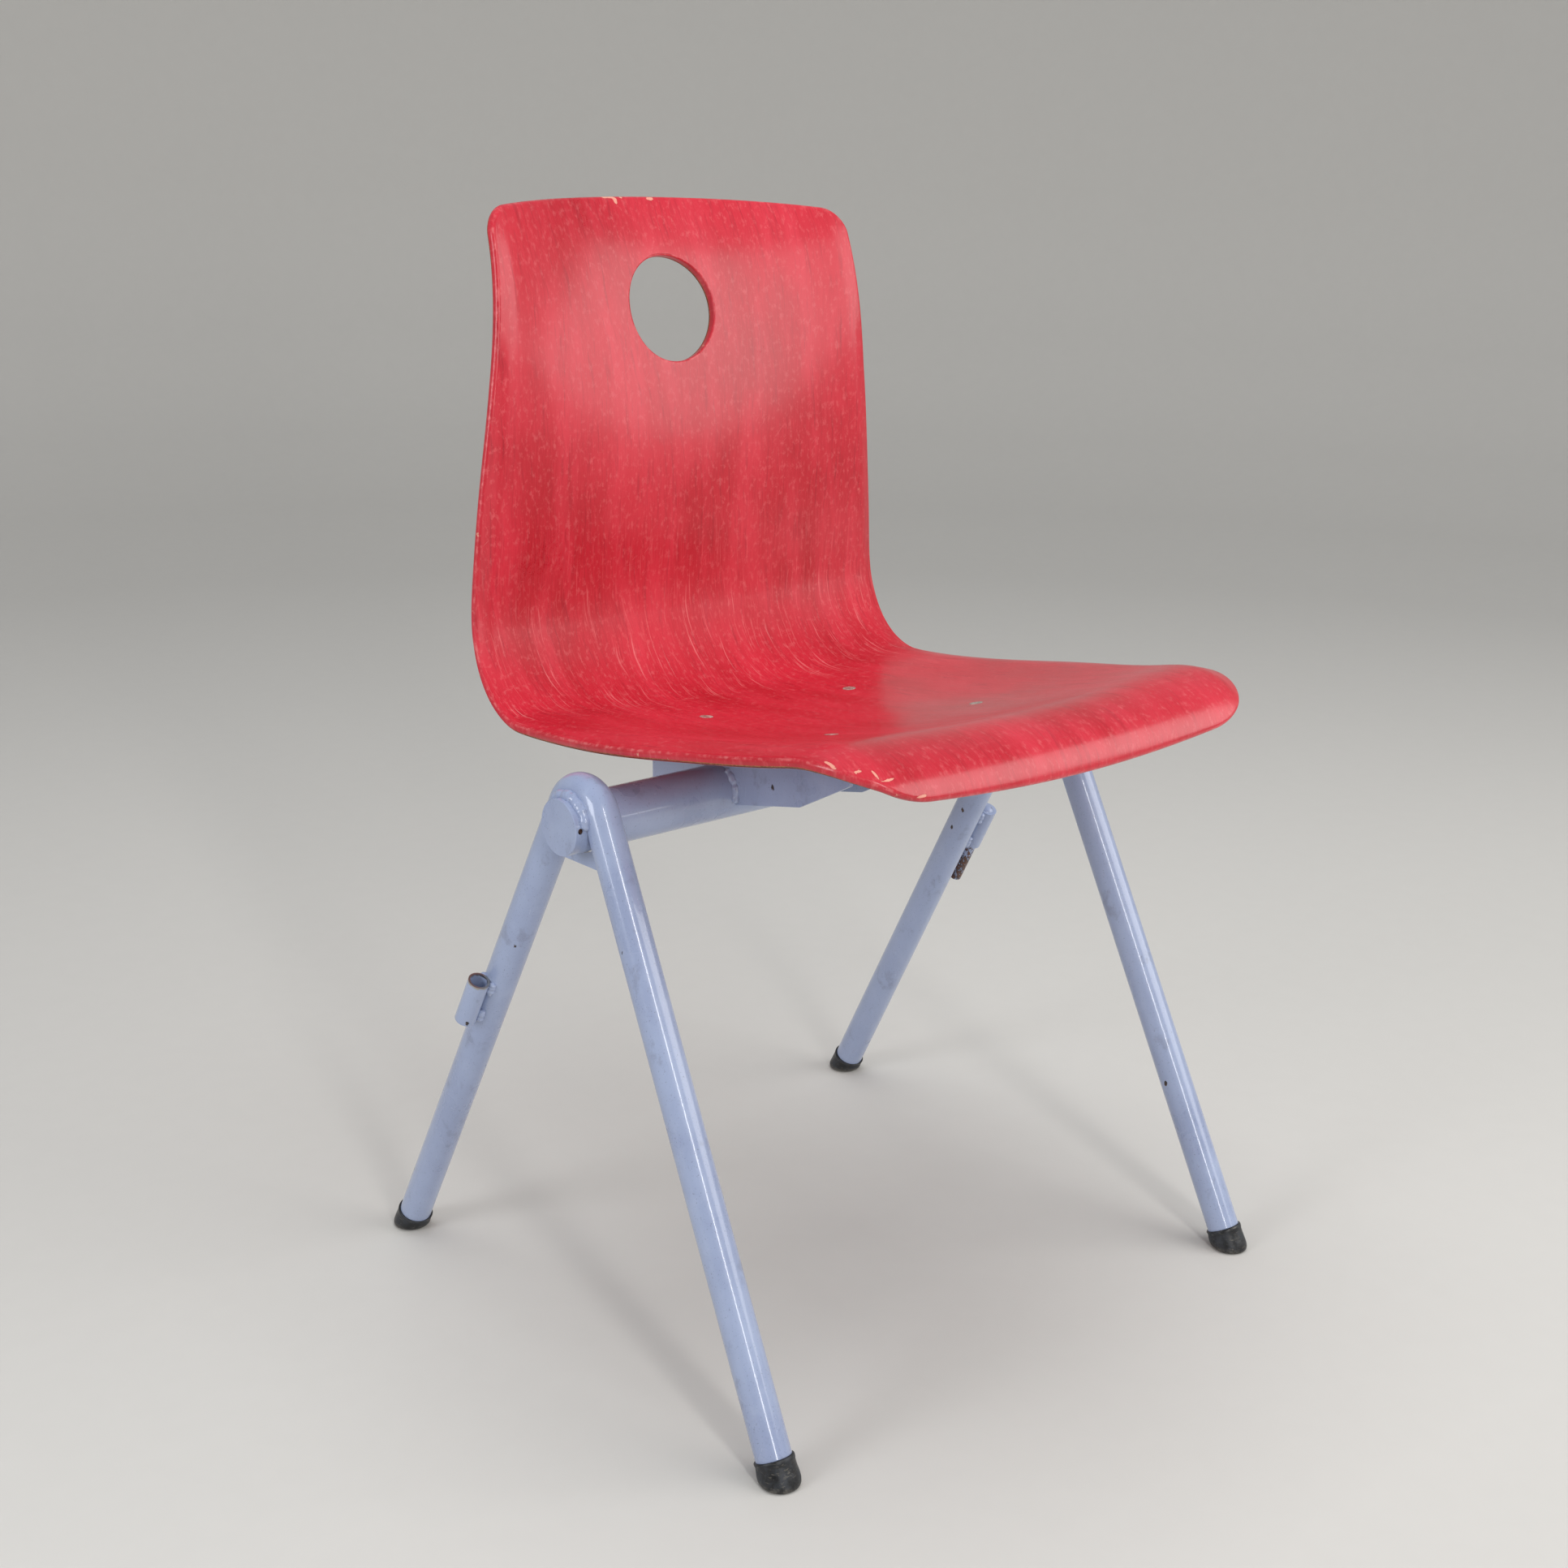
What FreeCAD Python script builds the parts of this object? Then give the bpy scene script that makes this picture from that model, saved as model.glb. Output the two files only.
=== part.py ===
"""Stacking school chair: a pressed-plywood seat shell on one crossbar between two bent-tube leg frames.

Millimetres. +Z is up and the floor is Z = 0. The sitter faces -Y, so the sitter's right is -X.
X = 0 is the middle of the chair and Y = 0 is the middle of its length.
Each separate piece is written as one STEP file.
"""
import FreeCAD, Part
import math
import os

from FreeCAD import Rotation, Vector

# Crossbar and the caps in its ends
CROSSBAR_OD = 40.0
CROSSBAR_WALL = 2.0
CROSSBAR_Z = 395.5
CROSSBAR_Y = 0.0              # the crossbar is at mid-length
CROSSBAR_HALF_LENGTH = 250.35
CAP_FLANGE = 1.2
CAP_EDGE_BREAK = 0.4
CAP_SPIGOT_LENGTH = 14.0
CAP_PIN_DIAMETER = 4.0
CAP_PIN_LENGTH = 8.0
CAP_PIN_RECESS = 0.8
CAP_PIN_FROM_TUBE_END = 2.6
CAP_PIN_ANGLE = 4.0           # above the horizontal, on the front side of the crossbar

# Leg frames: one tube each, bent round the crossbar
LEG_OD = 25.0
LEG_WALL = 2.0
BEND_RADIUS = 22.0            # of the tube's centreline
FRAME_X = 230.5               # leg frame to the chair's middle, at the crossbar
FOOT_X = 240.6                # the same, on the floor
FRONT_FOOT_REACH = 223.0      # crossbar to the front foot, along the floor
REAR_FOOT_REACH = 231.0
COPE_CLEARANCE = 0.1          # between the crossbar and the hole it passes through

# Plate in the fork of each leg frame, just under the crossbar
GUSSET_THICKNESS = 4.0
GUSSET_BOTTOM = 29.5          # below the crossbar's axis
GUSSET_TOP = 8.0
GUSSET_GAP = 0.8              # to the crossbar

# Feet: ferrules with a stem inside the leg tube
FOOT_HEIGHT = 17.0
FOOT_COLLAR_OD = 27.0
FOOT_SECTIONS = [(22.0, 0.0), (26.4, 1.2), (29.0, 4.2)]   # diameter and height above the floor
FOOT_STEM_LENGTH = 24.0
FOOT_STEM_ROOT = 5.0          # the stem starts this far inside the ferrule
FOOT_STEM_CLEARANCE = 0.15

# Linking socket on the right rear leg and linking pin on the left rear leg
LINK_TUBE_OD = 16.0
SOCKET_BORE = 13.0
LINK_TUBE_LENGTH = 40.0
SOCKET_TOP_BELOW_CROSSBAR = 170.0   # along the leg, from the start of the straight leg
PIN_TOP_BELOW_CROSSBAR = 122.0
LINK_PIN_DIAMETER = 11.0
LINK_PIN_HELD_DIAMETER = 11.6       # inside its holder
LINK_PIN_REACH = 42.0               # free length below its holder
LINK_PIN_DOME = 0.5                 # height of its domed top, as a share of its radius
LINK_PIN_CHAMFER = 0.2              # of its free end, the same way
PIN_TURN = 15.0                     # the pin sits turned towards the rear of its leg

# Seat shell: profile of the upper face on the middle plane, from the front lip up to the top
# edge of the back, as (Y from the crossbar, Z)
SHELL_THICKNESS = 8.0
PROFILE = [(-245, 444), (-240, 459), (-202, 476), (-162, 467), (-95, 448.5), (-15, 434.5), (70.5, 429.5),
           (108.5, 428.8), (122.4, 429.5), (137.7, 434.2), (152.8, 443.8), (164.8, 457.2), (173.1, 473.1),
           (177.8, 492.5), (178, 516.5), (175.8, 545), (185, 686), (205, 760), (227, 804)]
# Half width, and how far the side edges rise above the middle, at even steps along the profile
HALF_WIDTH = [199, 206, 214, 208, 204.5, 196, 181, 170]
EDGE_RISE = [-2, 16, 24, 18, 14.5, 10, 25.5, 31]
# The outermost strip is folded back down, gently along the seat and more sharply along the back
FOLD_WIDTH = (25.0, 14.0)
FOLD_SLOPE = (0.38, 0.55)
FOLD_SOFTNESS = (6.0, 3.5)    # half width of the fold's rounding
FOLD_CHANGE = (0.46, 0.58)    # shares of the profile between which it sharpens
FOLD_FADES_FROM = 0.82        # share of the profile after which the fold dies away
FRONT_CORNER = 57.0
FRONT_CROWN = 13.0
TOP_CORNER = 17.0
TOP_CROWN = 26.0
GRID_ALONG = 60
GRID_ACROSS = 28
GRID_EASE = 0.5               # 0 spaces the rows evenly, 1 crowds them fully towards both ends
NORMAL_STEP = 0.01            # step for slopes on the upper face
NORMAL_LIMIT = 0.998          # share of the half width up to which the slope across is taken

# Hand hole in the back
HAND_HOLE_DIAMETER = 81.5
HAND_HOLE_X = -1.5            # the hole sits a little off the middle
HAND_HOLE_Y = 193.3           # from the crossbar
HAND_HOLE_Z = 720.5

# Seat bolts
BOLT_X = 73.0
REAR_BOLT_Y = 61.0            # from the crossbar
FRONT_BOLT_Y = -76.0
BOLT_DIAMETER = 6.0
BOLT_HEAD_OD = 10.5
BOLT_HEAD_DEPTH = 2.4
BOLT_HEAD_BELOW_FACE = 0.1
BOLT_LENGTH = 22.0
BOLT_CLEARANCE = 0.2
WASHER_OD = 12.5
WASHER_THICKNESS = 1.6
NUT_ACROSS_FLATS = 10.0
NUT_HEIGHT = 6.0
STACK_GAP = 0.05              # left between stacked pieces so they only just touch
WASHER_GAP = 0.2              # a flat washer can't follow the bracket's slight curve

# Seat brackets: channels welded over the crossbar
BRACKET_OUTER_X = 112.0
BRACKET_INNER_X = 50.0
BRACKET_SHEET = 3.0
BRACKET_UNDER_SHELL = 0.1
BRACKET_REAR_Y = 76.0         # from the crossbar, and so are the three below
BRACKET_REAR_Z = 384.0
BRACKET_KNEE_Y = -87.0
BRACKET_KNEE_Z = 404.0
BRACKET_TIP_Y = -136.0
BRACKET_TIP_Z = 430.0
BRACKET_NOTCH_Z = 390.0       # lower edge in front of the crossbar
BRACKET_MIDDLE_Z = 387.0      # lower edge in line with the crossbar's axis
BRACKET_REACH_UP = 32.0       # the outline is drawn this far above the tip, then trimmed to the shell

# Weld beads
FRAME_WELD_RADIUS = 3.4
FRAME_WELD_ARC = (5, 175)
BRACKET_WELD_RADIUS = 2.6
BRACKET_FRONT_WELD_ARC = (-12, 65)
BRACKET_REAR_WELD_ARC = (115, 190)
LINK_WELD_RADIUS = 3.0
LINK_WELD_LENGTH = 12.0
LINK_WELD_OFFSET = 6.5        # from the line where tube and leg meet
LINK_WELD_END = 2.0           # the beads stop this far inside the tube's ends
WELD_GAP = 0.05

ALONG_X = Vector(1, 0, 0)
UP = Vector(0, 0, 1)
MIDDLE = Vector(0, 0, 0)
LEFT, RIGHT = 1, -1


def mirrored(shape):
    """The same piece for the other side of the chair."""
    return shape.mirror(MIDDLE, ALONG_X)


def on_side(shape, side):
    """Pieces are modelled on the left, +X; the right-hand one is the mirror image."""
    return shape if side == LEFT else mirrored(shape)


def ring_face(centre, axis, outer_radius, inner_radius):
    """Flat ring across a tube."""
    outer = Part.Wire(Part.makeCircle(outer_radius, centre, axis))
    inner = Part.Wire(Part.makeCircle(inner_radius, centre, axis))
    return Part.makeFace([outer, inner], "Part::FaceMakerBullseye")


def rod(start, axis, diameter, length):
    return Part.makeCylinder(diameter / 2, length, start, axis)


def solids_of(shapes):
    """Separate identical pieces as one group."""
    found = []
    for shape in shapes:
        found += shape.Solids
    return Part.makeCompound(found)


# ---------------------------------------------------------------- leg frame
# A leg frame is drawn in its own plane, with the crossbar's axis at the origin and X across the
# plane, then leaned outwards about the crossbar and moved to its place.
SPLAY = math.atan((FOOT_X - FRAME_X) / CROSSBAR_Z)
FLOOR = -CROSSBAR_Z / math.cos(SPLAY)


def to_frame_place(shape):
    placed = shape.copy()
    placed.rotate(MIDDLE, Vector(0, 1, 0), -math.degrees(SPLAY))
    placed.translate(Vector(FRAME_X, CROSSBAR_Y, CROSSBAR_Z))
    return placed


def place_point(point):
    turned = Rotation(Vector(0, 1, 0), -math.degrees(SPLAY)).multVec(point)
    return turned + Vector(FRAME_X, CROSSBAR_Y, CROSSBAR_Z)


def place_direction(direction):
    return Rotation(Vector(0, 1, 0), -math.degrees(SPLAY)).multVec(direction)


def leg_line(reach):
    """Where one straight leg leaves the bend, its direction down to the floor, and its length."""
    towards = 1 if reach > 0 else -1
    distance = math.hypot(reach, FLOOR)
    lean = math.atan2(abs(reach), -FLOOR) - math.asin(BEND_RADIUS / distance)
    start = Vector(0, towards * BEND_RADIUS * math.cos(lean), BEND_RADIUS * math.sin(lean))
    down = Vector(0, towards * math.sin(lean), -math.cos(lean))
    return start, down, math.sqrt(distance ** 2 - BEND_RADIUS ** 2)


FRONT_LEG = leg_line(-FRONT_FOOT_REACH)
REAR_LEG = leg_line(REAR_FOOT_REACH)


def bent_tube(outer_radius, inner_radius=0.0):
    """Leg, bend and leg; a filled bar when there is no inner radius."""
    pieces = []
    for start, down, length in (FRONT_LEG, REAR_LEG):
        if inner_radius:
            end = ring_face(start, down, outer_radius, inner_radius)
        else:
            end = Part.Face(Part.Wire(Part.makeCircle(outer_radius, start, down)))
        pieces.append(end.extrude(down * (length - FOOT_HEIGHT)))
    turn = 180 - math.degrees(FRONT_LEG[1].getAngle(REAR_LEG[1]))
    pieces.append(end.revolve(MIDDLE, ALONG_X, turn))
    return pieces[0].fuse(pieces[1:]).removeSplitter()


def crossbar_bore(extra):
    """Space the crossbar takes up, in the leg frame's own plane."""
    bore = rod(Vector(-2 * LEG_OD, 0, 0), ALONG_X, CROSSBAR_OD + 2 * extra, 4 * LEG_OD)
    bore.rotate(MIDDLE, Vector(0, 1, 0), math.degrees(SPLAY))
    return bore


def leg_frame():
    tube = bent_tube(LEG_OD / 2, LEG_OD / 2 - LEG_WALL)
    return to_frame_place(tube.cut(crossbar_bore(COPE_CLEARANCE)))


def filled_leg_frame():
    return to_frame_place(bent_tube(LEG_OD / 2 + WELD_GAP))


def gusset():
    """Plate across the fork, cut to the legs and to the underside of the crossbar."""
    half = BEND_RADIUS + LEG_OD / 2
    plate = Part.makeBox(GUSSET_THICKNESS, 2 * half, GUSSET_BOTTOM - GUSSET_TOP,
                         Vector(-GUSSET_THICKNESS / 2, -half, -GUSSET_BOTTOM))
    plate = plate.cut(bent_tube(LEG_OD / 2 + WELD_GAP)).cut(crossbar_bore(GUSSET_GAP))
    in_fork = min(plate.Solids, key=lambda s: abs(s.CenterOfMass.y))
    return to_frame_place(in_fork)


def foot(leg):
    """Ferrule: round collar square to the leg, swelling to a rounded base that is flat on the floor."""
    start, down, length = leg
    tube_end = place_point(start + down * (length - FOOT_HEIGHT))
    axis = place_direction(down)
    on_floor = place_point(start + down * length)
    sections = [Part.makeCircle(diameter / 2, on_floor + UP * height, UP)
                for diameter, height in FOOT_SECTIONS]
    sections.append(Part.makeCircle(FOOT_COLLAR_OD / 2, tube_end, axis * -1))
    body = Part.makeLoft([Part.Wire(s) for s in sections], True, True)
    stem_radius = LEG_OD / 2 - LEG_WALL - FOOT_STEM_CLEARANCE
    stem_root = tube_end + axis * FOOT_STEM_ROOT
    stem = rod(stem_root, axis * -1, 2 * stem_radius, FOOT_STEM_LENGTH + FOOT_STEM_ROOT)
    return body.fuse(stem).removeSplitter()


# ---------------------------------------------------------------- crossbar
CROSSBAR_AXIS = Vector(0, CROSSBAR_Y, CROSSBAR_Z)
CAP_PIN_OUT = Vector(0, -math.cos(math.radians(CAP_PIN_ANGLE)), math.sin(math.radians(CAP_PIN_ANGLE)))


def cap_pin_axis(side):
    """Point on the crossbar's axis under the pin that holds an end cap."""
    return CROSSBAR_AXIS + ALONG_X * side * (CROSSBAR_HALF_LENGTH - CAP_PIN_FROM_TUBE_END)


def pin_hole(side, extra):
    return rod(cap_pin_axis(side), CAP_PIN_OUT, CAP_PIN_DIAMETER + extra, CROSSBAR_OD)


def crossbar():
    tube = ring_face(CROSSBAR_AXIS - ALONG_X * CROSSBAR_HALF_LENGTH, ALONG_X,
                     CROSSBAR_OD / 2, CROSSBAR_OD / 2 - CROSSBAR_WALL)
    tube = tube.extrude(ALONG_X * 2 * CROSSBAR_HALF_LENGTH)
    for side in (LEFT, RIGHT):
        tube = tube.cut(pin_hole(side, WELD_GAP))
    return tube


def end_cap():
    face = CROSSBAR_AXIS + ALONG_X * (CROSSBAR_HALF_LENGTH + STACK_GAP)
    flange = rod(face, ALONG_X, CROSSBAR_OD, CAP_FLANGE)
    rim = [e for e in flange.Edges if e.BoundBox.XMin > face.x + CAP_FLANGE / 2 and e.Closed]
    flange = flange.makeChamfer(CAP_EDGE_BREAK, rim)
    spigot = rod(face, ALONG_X * -1, CROSSBAR_OD - 2 * CROSSBAR_WALL - 2 * STACK_GAP, CAP_SPIGOT_LENGTH)
    return flange.fuse(spigot).removeSplitter().cut(pin_hole(LEFT, WELD_GAP))


def cap_pin():
    end = CROSSBAR_OD / 2 - CAP_PIN_RECESS
    start = cap_pin_axis(LEFT) + CAP_PIN_OUT * (end - CAP_PIN_LENGTH)
    return rod(start, CAP_PIN_OUT, CAP_PIN_DIAMETER, CAP_PIN_LENGTH)


# ---------------------------------------------------------------- seat shell
def profile_curve():
    """Profile as a smooth curve whose parameter is the distance along it."""
    points = [Vector(0, y + CROSSBAR_Y, z) for y, z in PROFILE]
    steps = [0.0]
    for before, after in zip(points, points[1:]):
        steps.append(steps[-1] + before.distanceToPoint(after))
    curve = Part.BSplineCurve()
    curve.interpolate(Points=points, Parameters=steps)
    return curve, steps[-1]


SHELL_PROFILE, PROFILE_LENGTH = profile_curve()


def section_curve():
    """Half width and edge rise as one smooth curve along the profile."""
    step = PROFILE_LENGTH / (len(HALF_WIDTH) - 1)
    curve = Part.BSplineCurve()
    curve.interpolate(Points=[Vector(w, r, 0) for w, r in zip(HALF_WIDTH, EDGE_RISE)],
                      Parameters=[i * step for i in range(len(HALF_WIDTH))])
    return curve


SHELL_SECTION = section_curve()


def corner_setback(across, half_width, radius):
    """How far a rounded corner has left the straight end at this distance from the middle."""
    inside = min(max((across - half_width + radius) / radius, 0.0), 1.0)
    return radius * (1 - math.sqrt(1 - inside ** 2))


def blend(pair, share):
    return pair[0] + (pair[1] - pair[0]) * share


def fold_drop(along, from_edge):
    """How far the side strip is folded down, this far along the profile and this far in from the edge."""
    share = along / PROFILE_LENGTH
    change = min(max((share - FOLD_CHANGE[0]) / (FOLD_CHANGE[1] - FOLD_CHANGE[0]), 0.0), 1.0)
    fade = min(1.0, (1 - share) / (1 - FOLD_FADES_FROM))
    past_fold = blend(FOLD_WIDTH, change) - from_edge
    eased = (past_fold + math.hypot(past_fold, blend(FOLD_SOFTNESS, change))) / 2
    return blend(FOLD_SLOPE, change) * fade * eased


def upper_point(along, across_share):
    """Point on the upper face, by distance along the profile and share of the half width."""
    on_profile = SHELL_PROFILE.value(along)
    tangent = SHELL_PROFILE.tangent(along)[0]
    normal = Vector(0, -tangent.z, tangent.y)
    section = SHELL_SECTION.value(along)
    half_width, edge_rise = section.x, section.y
    across = across_share * half_width
    rise = edge_rise * across_share ** 2 - fold_drop(along, half_width - abs(across))
    return on_profile + normal * rise + ALONG_X * across


def grid_share(j):
    """Share of the half width of grid column j; the columns crowd towards the side edges."""
    return math.sin(math.pi * (j / GRID_ACROSS - 0.5))


def grid_along(i, share):
    """Distance along the profile of grid row i, between the crowned and rounded ends."""
    front_width, top_width = HALF_WIDTH[0], HALF_WIDTH[-1]
    low = FRONT_CROWN * share ** 2 + corner_setback(abs(share) * front_width, front_width, FRONT_CORNER)
    high = (PROFILE_LENGTH - TOP_CROWN * share ** 2
            - corner_setback(abs(share) * top_width, top_width, TOP_CORNER))
    even = i / GRID_ALONG
    eased = (1 - GRID_EASE) * even + GRID_EASE * (1 - math.cos(math.pi * even)) / 2
    return low + (high - low) * eased


def upper_normal(along, share):
    """Unit normal of the upper face, pointing to the sitter."""
    share_step = NORMAL_STEP / HALF_WIDTH[0]
    lengthwise = upper_point(along + NORMAL_STEP, share) - upper_point(along - NORMAL_STEP, share)
    crosswise = upper_point(along, share + share_step) - upper_point(along, share - share_step)
    return crosswise.cross(lengthwise).normalize()


def layer_surface(depth):
    """Smooth face lying this far below the upper face."""
    rows = []
    for i in range(GRID_ALONG + 1):
        row = []
        for j in range(GRID_ACROSS + 1):
            share = grid_share(j)
            along = grid_along(i, share)
            inner_share = min(max(share, -NORMAL_LIMIT), NORMAL_LIMIT)
            row.append(upper_point(along, share) - upper_normal(along, inner_share) * depth)
        rows.append(row)
    surface = Part.BSplineSurface()
    surface.interpolate(rows)
    return surface


def layer_solid(upper_depth, lower_depth):
    """Solid between two depths of the shell."""
    upper, lower = layer_surface(upper_depth), layer_surface(lower_depth)
    u0, u1, v0, v1 = upper.bounds()
    l0, l1, m0, m1 = lower.bounds()
    faces = [upper.toShape(), lower.toShape()]
    for upper_edge, lower_edge in ((upper.uIso(u0), lower.uIso(l0)), (upper.uIso(u1), lower.uIso(l1)),
                                   (upper.vIso(v0), lower.vIso(m0)), (upper.vIso(v1), lower.vIso(m1))):
        faces.append(Part.makeRuledSurface(upper_edge.toShape(), lower_edge.toShape()))
    shell = Part.makeShell(faces)
    shell.sewShape()
    solid = Part.makeSolid(shell)
    if solid.Volume < 0:
        solid.reverse()
    return solid


def along_at_y(y):
    """Distance along the profile of the seat's point at this Y."""
    low, high = 0.1 * PROFILE_LENGTH, 0.5 * PROFILE_LENGTH   # the flat of the seat, where Y only grows
    while high - low > NORMAL_STEP:
        middle = (low + high) / 2
        if SHELL_PROFILE.value(middle).y < y:
            low = middle
        else:
            high = middle
    return low


def bolt_places():
    """Point on the upper face and the direction into the seat, for each of the bolts."""
    places = []
    for y in (REAR_BOLT_Y, FRONT_BOLT_Y):
        along = along_at_y(y + CROSSBAR_Y)
        share = BOLT_X / SHELL_SECTION.value(along).x
        for side in (LEFT, RIGHT):
            places.append((upper_point(along, side * share), upper_normal(along, side * share) * -1))
    return places


BOLT_PLACES = bolt_places()


def countersunk(extra, length):
    """Countersunk shank pointing down from the origin."""
    head, shank = BOLT_HEAD_OD / 2 + extra, BOLT_DIAMETER / 2 + extra
    cone = Part.makeCone(head, shank, BOLT_HEAD_DEPTH, MIDDLE, UP * -1)
    return cone.fuse(rod(MIDDLE, UP * -1, 2 * shank, length)).removeSplitter()


def at_bolt(shape, place, depth):
    """Put a piece drawn pointing down from the origin this deep in the seat."""
    point, inwards = place
    placed = shape.copy()
    placed.Placement = FreeCAD.Placement(point + inwards * depth, Rotation(UP * -1, inwards))
    return placed


def seat_bolts():
    bolt = countersunk(0, BOLT_LENGTH)
    return solids_of([at_bolt(bolt, place, BOLT_HEAD_BELOW_FACE) for place in BOLT_PLACES])


UNDER_BRACKET = SHELL_THICKNESS + BRACKET_UNDER_SHELL + BRACKET_SHEET


def bolt_washers():
    hole = BOLT_DIAMETER / 2 + BOLT_CLEARANCE
    washer = ring_face(MIDDLE, UP * -1, WASHER_OD / 2, hole).extrude(UP * -WASHER_THICKNESS)
    depth = UNDER_BRACKET + WASHER_GAP
    return solids_of([at_bolt(washer, place, depth) for place in BOLT_PLACES])


def lock_nuts():
    corner = NUT_ACROSS_FLATS / math.sqrt(3)
    corners = [Vector(corner * math.cos(math.radians(60 * i)), corner * math.sin(math.radians(60 * i)), 0)
               for i in range(7)]
    nut = Part.Face(Part.makePolygon(corners)).extrude(UP * -NUT_HEIGHT)
    nut = nut.cut(rod(UP, UP * -1, BOLT_DIAMETER + 2 * STACK_GAP, NUT_HEIGHT + 2))
    depth = UNDER_BRACKET + WASHER_GAP + WASHER_THICKNESS + STACK_GAP
    return solids_of([at_bolt(nut, place, depth) for place in BOLT_PLACES])


def seat_shell():
    shell = layer_solid(0, SHELL_THICKNESS)
    hole_at = Vector(HAND_HOLE_X, HAND_HOLE_Y + CROSSBAR_Y, HAND_HOLE_Z)
    tangent = SHELL_PROFILE.tangent(SHELL_PROFILE.parameter(hole_at))[0]
    through = Vector(0, tangent.z, -tangent.y)
    hole = rod(hole_at - through * HAND_HOLE_DIAMETER, through, HAND_HOLE_DIAMETER, 2 * HAND_HOLE_DIAMETER)
    shell = shell.cut(hole)
    bolt_hole = countersunk(BOLT_CLEARANCE, BOLT_LENGTH)
    above = rod(MIDDLE, UP, BOLT_HEAD_OD + 2 * BOLT_CLEARANCE, BOLT_HEAD_DEPTH)
    for place in BOLT_PLACES:
        shell = shell.cut(at_bolt(bolt_hole.fuse(above), place, BOLT_HEAD_BELOW_FACE))
    return shell


# ---------------------------------------------------------------- seat brackets
def bracket_outline(x):
    """Side view of a bracket, tall enough to reach through the shell, at this X."""
    well_above = BRACKET_TIP_Z + BRACKET_REACH_UP
    outline = [(BRACKET_REAR_Y, BRACKET_REAR_Z), (0, BRACKET_MIDDLE_Z), (-CROSSBAR_OD / 2, BRACKET_NOTCH_Z),
               (BRACKET_KNEE_Y, BRACKET_KNEE_Z), (BRACKET_TIP_Y, BRACKET_TIP_Z),
               (BRACKET_TIP_Y, well_above), (BRACKET_REAR_Y, well_above)]
    corners = [Vector(x, y + CROSSBAR_Y, z) for y, z in outline]
    return Part.Face(Part.makePolygon(corners + corners[:1]))


def seat_bracket(above_bracket, sheet):
    width = BRACKET_OUTER_X - BRACKET_INNER_X
    envelope = bracket_outline(BRACKET_INNER_X).extrude(ALONG_X * width)
    flanges = []
    for x in (BRACKET_INNER_X, BRACKET_OUTER_X - BRACKET_SHEET):
        flange = bracket_outline(x).extrude(ALONG_X * BRACKET_SHEET)
        below = flange.cut(above_bracket).Solids
        flanges.append(min(below, key=lambda s: s.CenterOfMass.z))
    web = sheet.common(envelope)
    bracket = web.fuse(flanges).removeSplitter()
    bracket = bracket.cut(rod(CROSSBAR_AXIS, ALONG_X, CROSSBAR_OD + 2 * COPE_CLEARANCE, 2 * BRACKET_OUTER_X))
    for point, inwards in BOLT_PLACES:
        bracket = bracket.cut(rod(point, inwards, BOLT_DIAMETER + 2 * BOLT_CLEARANCE, 2 * BOLT_LENGTH))
    return bracket


# ---------------------------------------------------------------- linking socket and pin
def beside_rear_leg(distance_down, turn):
    """Top of a piece that lies along the outside of the rear leg, and the way down the leg."""
    start, down, _ = REAR_LEG
    outwards = Rotation(down, turn).multVec(ALONG_X)
    offset = outwards * ((LEG_OD + LINK_TUBE_OD) / 2 + WELD_GAP)
    return place_point(start + down * distance_down + offset), place_direction(down)


def linking_socket():
    top, down = beside_rear_leg(SOCKET_TOP_BELOW_CROSSBAR, 0)
    return ring_face(top, down, LINK_TUBE_OD / 2, SOCKET_BORE / 2).extrude(down * LINK_TUBE_LENGTH)


def linking_pin_holder():
    top, down = beside_rear_leg(PIN_TOP_BELOW_CROSSBAR, PIN_TURN)
    bore = LINK_PIN_HELD_DIAMETER / 2 + STACK_GAP
    return ring_face(top, down, LINK_TUBE_OD / 2, bore).extrude(down * LINK_TUBE_LENGTH)


def linking_pin():
    """Round pin: a domed top at its holder's mouth, a thicker held part and a chamfered free end."""
    held, free = LINK_PIN_HELD_DIAMETER / 2, LINK_PIN_DIAMETER / 2
    dome, chamfer = held * LINK_PIN_DOME, free * LINK_PIN_CHAMFER
    length = LINK_TUBE_LENGTH + LINK_PIN_REACH
    top, shoulder = Vector(0, 0, dome), Vector(held, 0, 0)
    sphere_radius = (held ** 2 + dome ** 2) / (2 * dome)
    half_angle = math.asin(held / sphere_radius) / 2
    on_dome = Vector(sphere_radius * math.sin(half_angle), 0,
                     dome - sphere_radius * (1 - math.cos(half_angle)))
    outline = Part.makePolygon([shoulder, Vector(held, 0, -LINK_TUBE_LENGTH),
                                Vector(free, 0, -LINK_TUBE_LENGTH), Vector(free, 0, chamfer - length),
                                Vector(free - chamfer, 0, -length), Vector(0, 0, -length), top])
    outline = Part.Wire([Part.Arc(top, on_dome, shoulder).toShape()] + outline.Edges)
    pin = Part.Face(outline).revolve(MIDDLE, UP, 360)
    holder_top, down = beside_rear_leg(PIN_TOP_BELOW_CROSSBAR, PIN_TURN)
    pin.Placement = FreeCAD.Placement(holder_top, Rotation(UP * -1, down))
    return pin


# ---------------------------------------------------------------- weld beads
def bead_round_crossbar(x, bead_radius, start_angle, end_angle):
    """Bead along the crossbar's surface, between two angles counted upwards from its front."""
    ring = Part.makeTorus(CROSSBAR_OD / 2, bead_radius, MIDDLE, UP, -180, 180, end_angle - start_angle)
    ring.rotate(MIDDLE, UP, start_angle)
    upright = Rotation(Vector(0, -1, 0), UP, ALONG_X * -1, "ZXY")
    ring.Placement = FreeCAD.Placement(CROSSBAR_AXIS + ALONG_X * x, upright).multiply(ring.Placement)
    return ring


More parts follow.
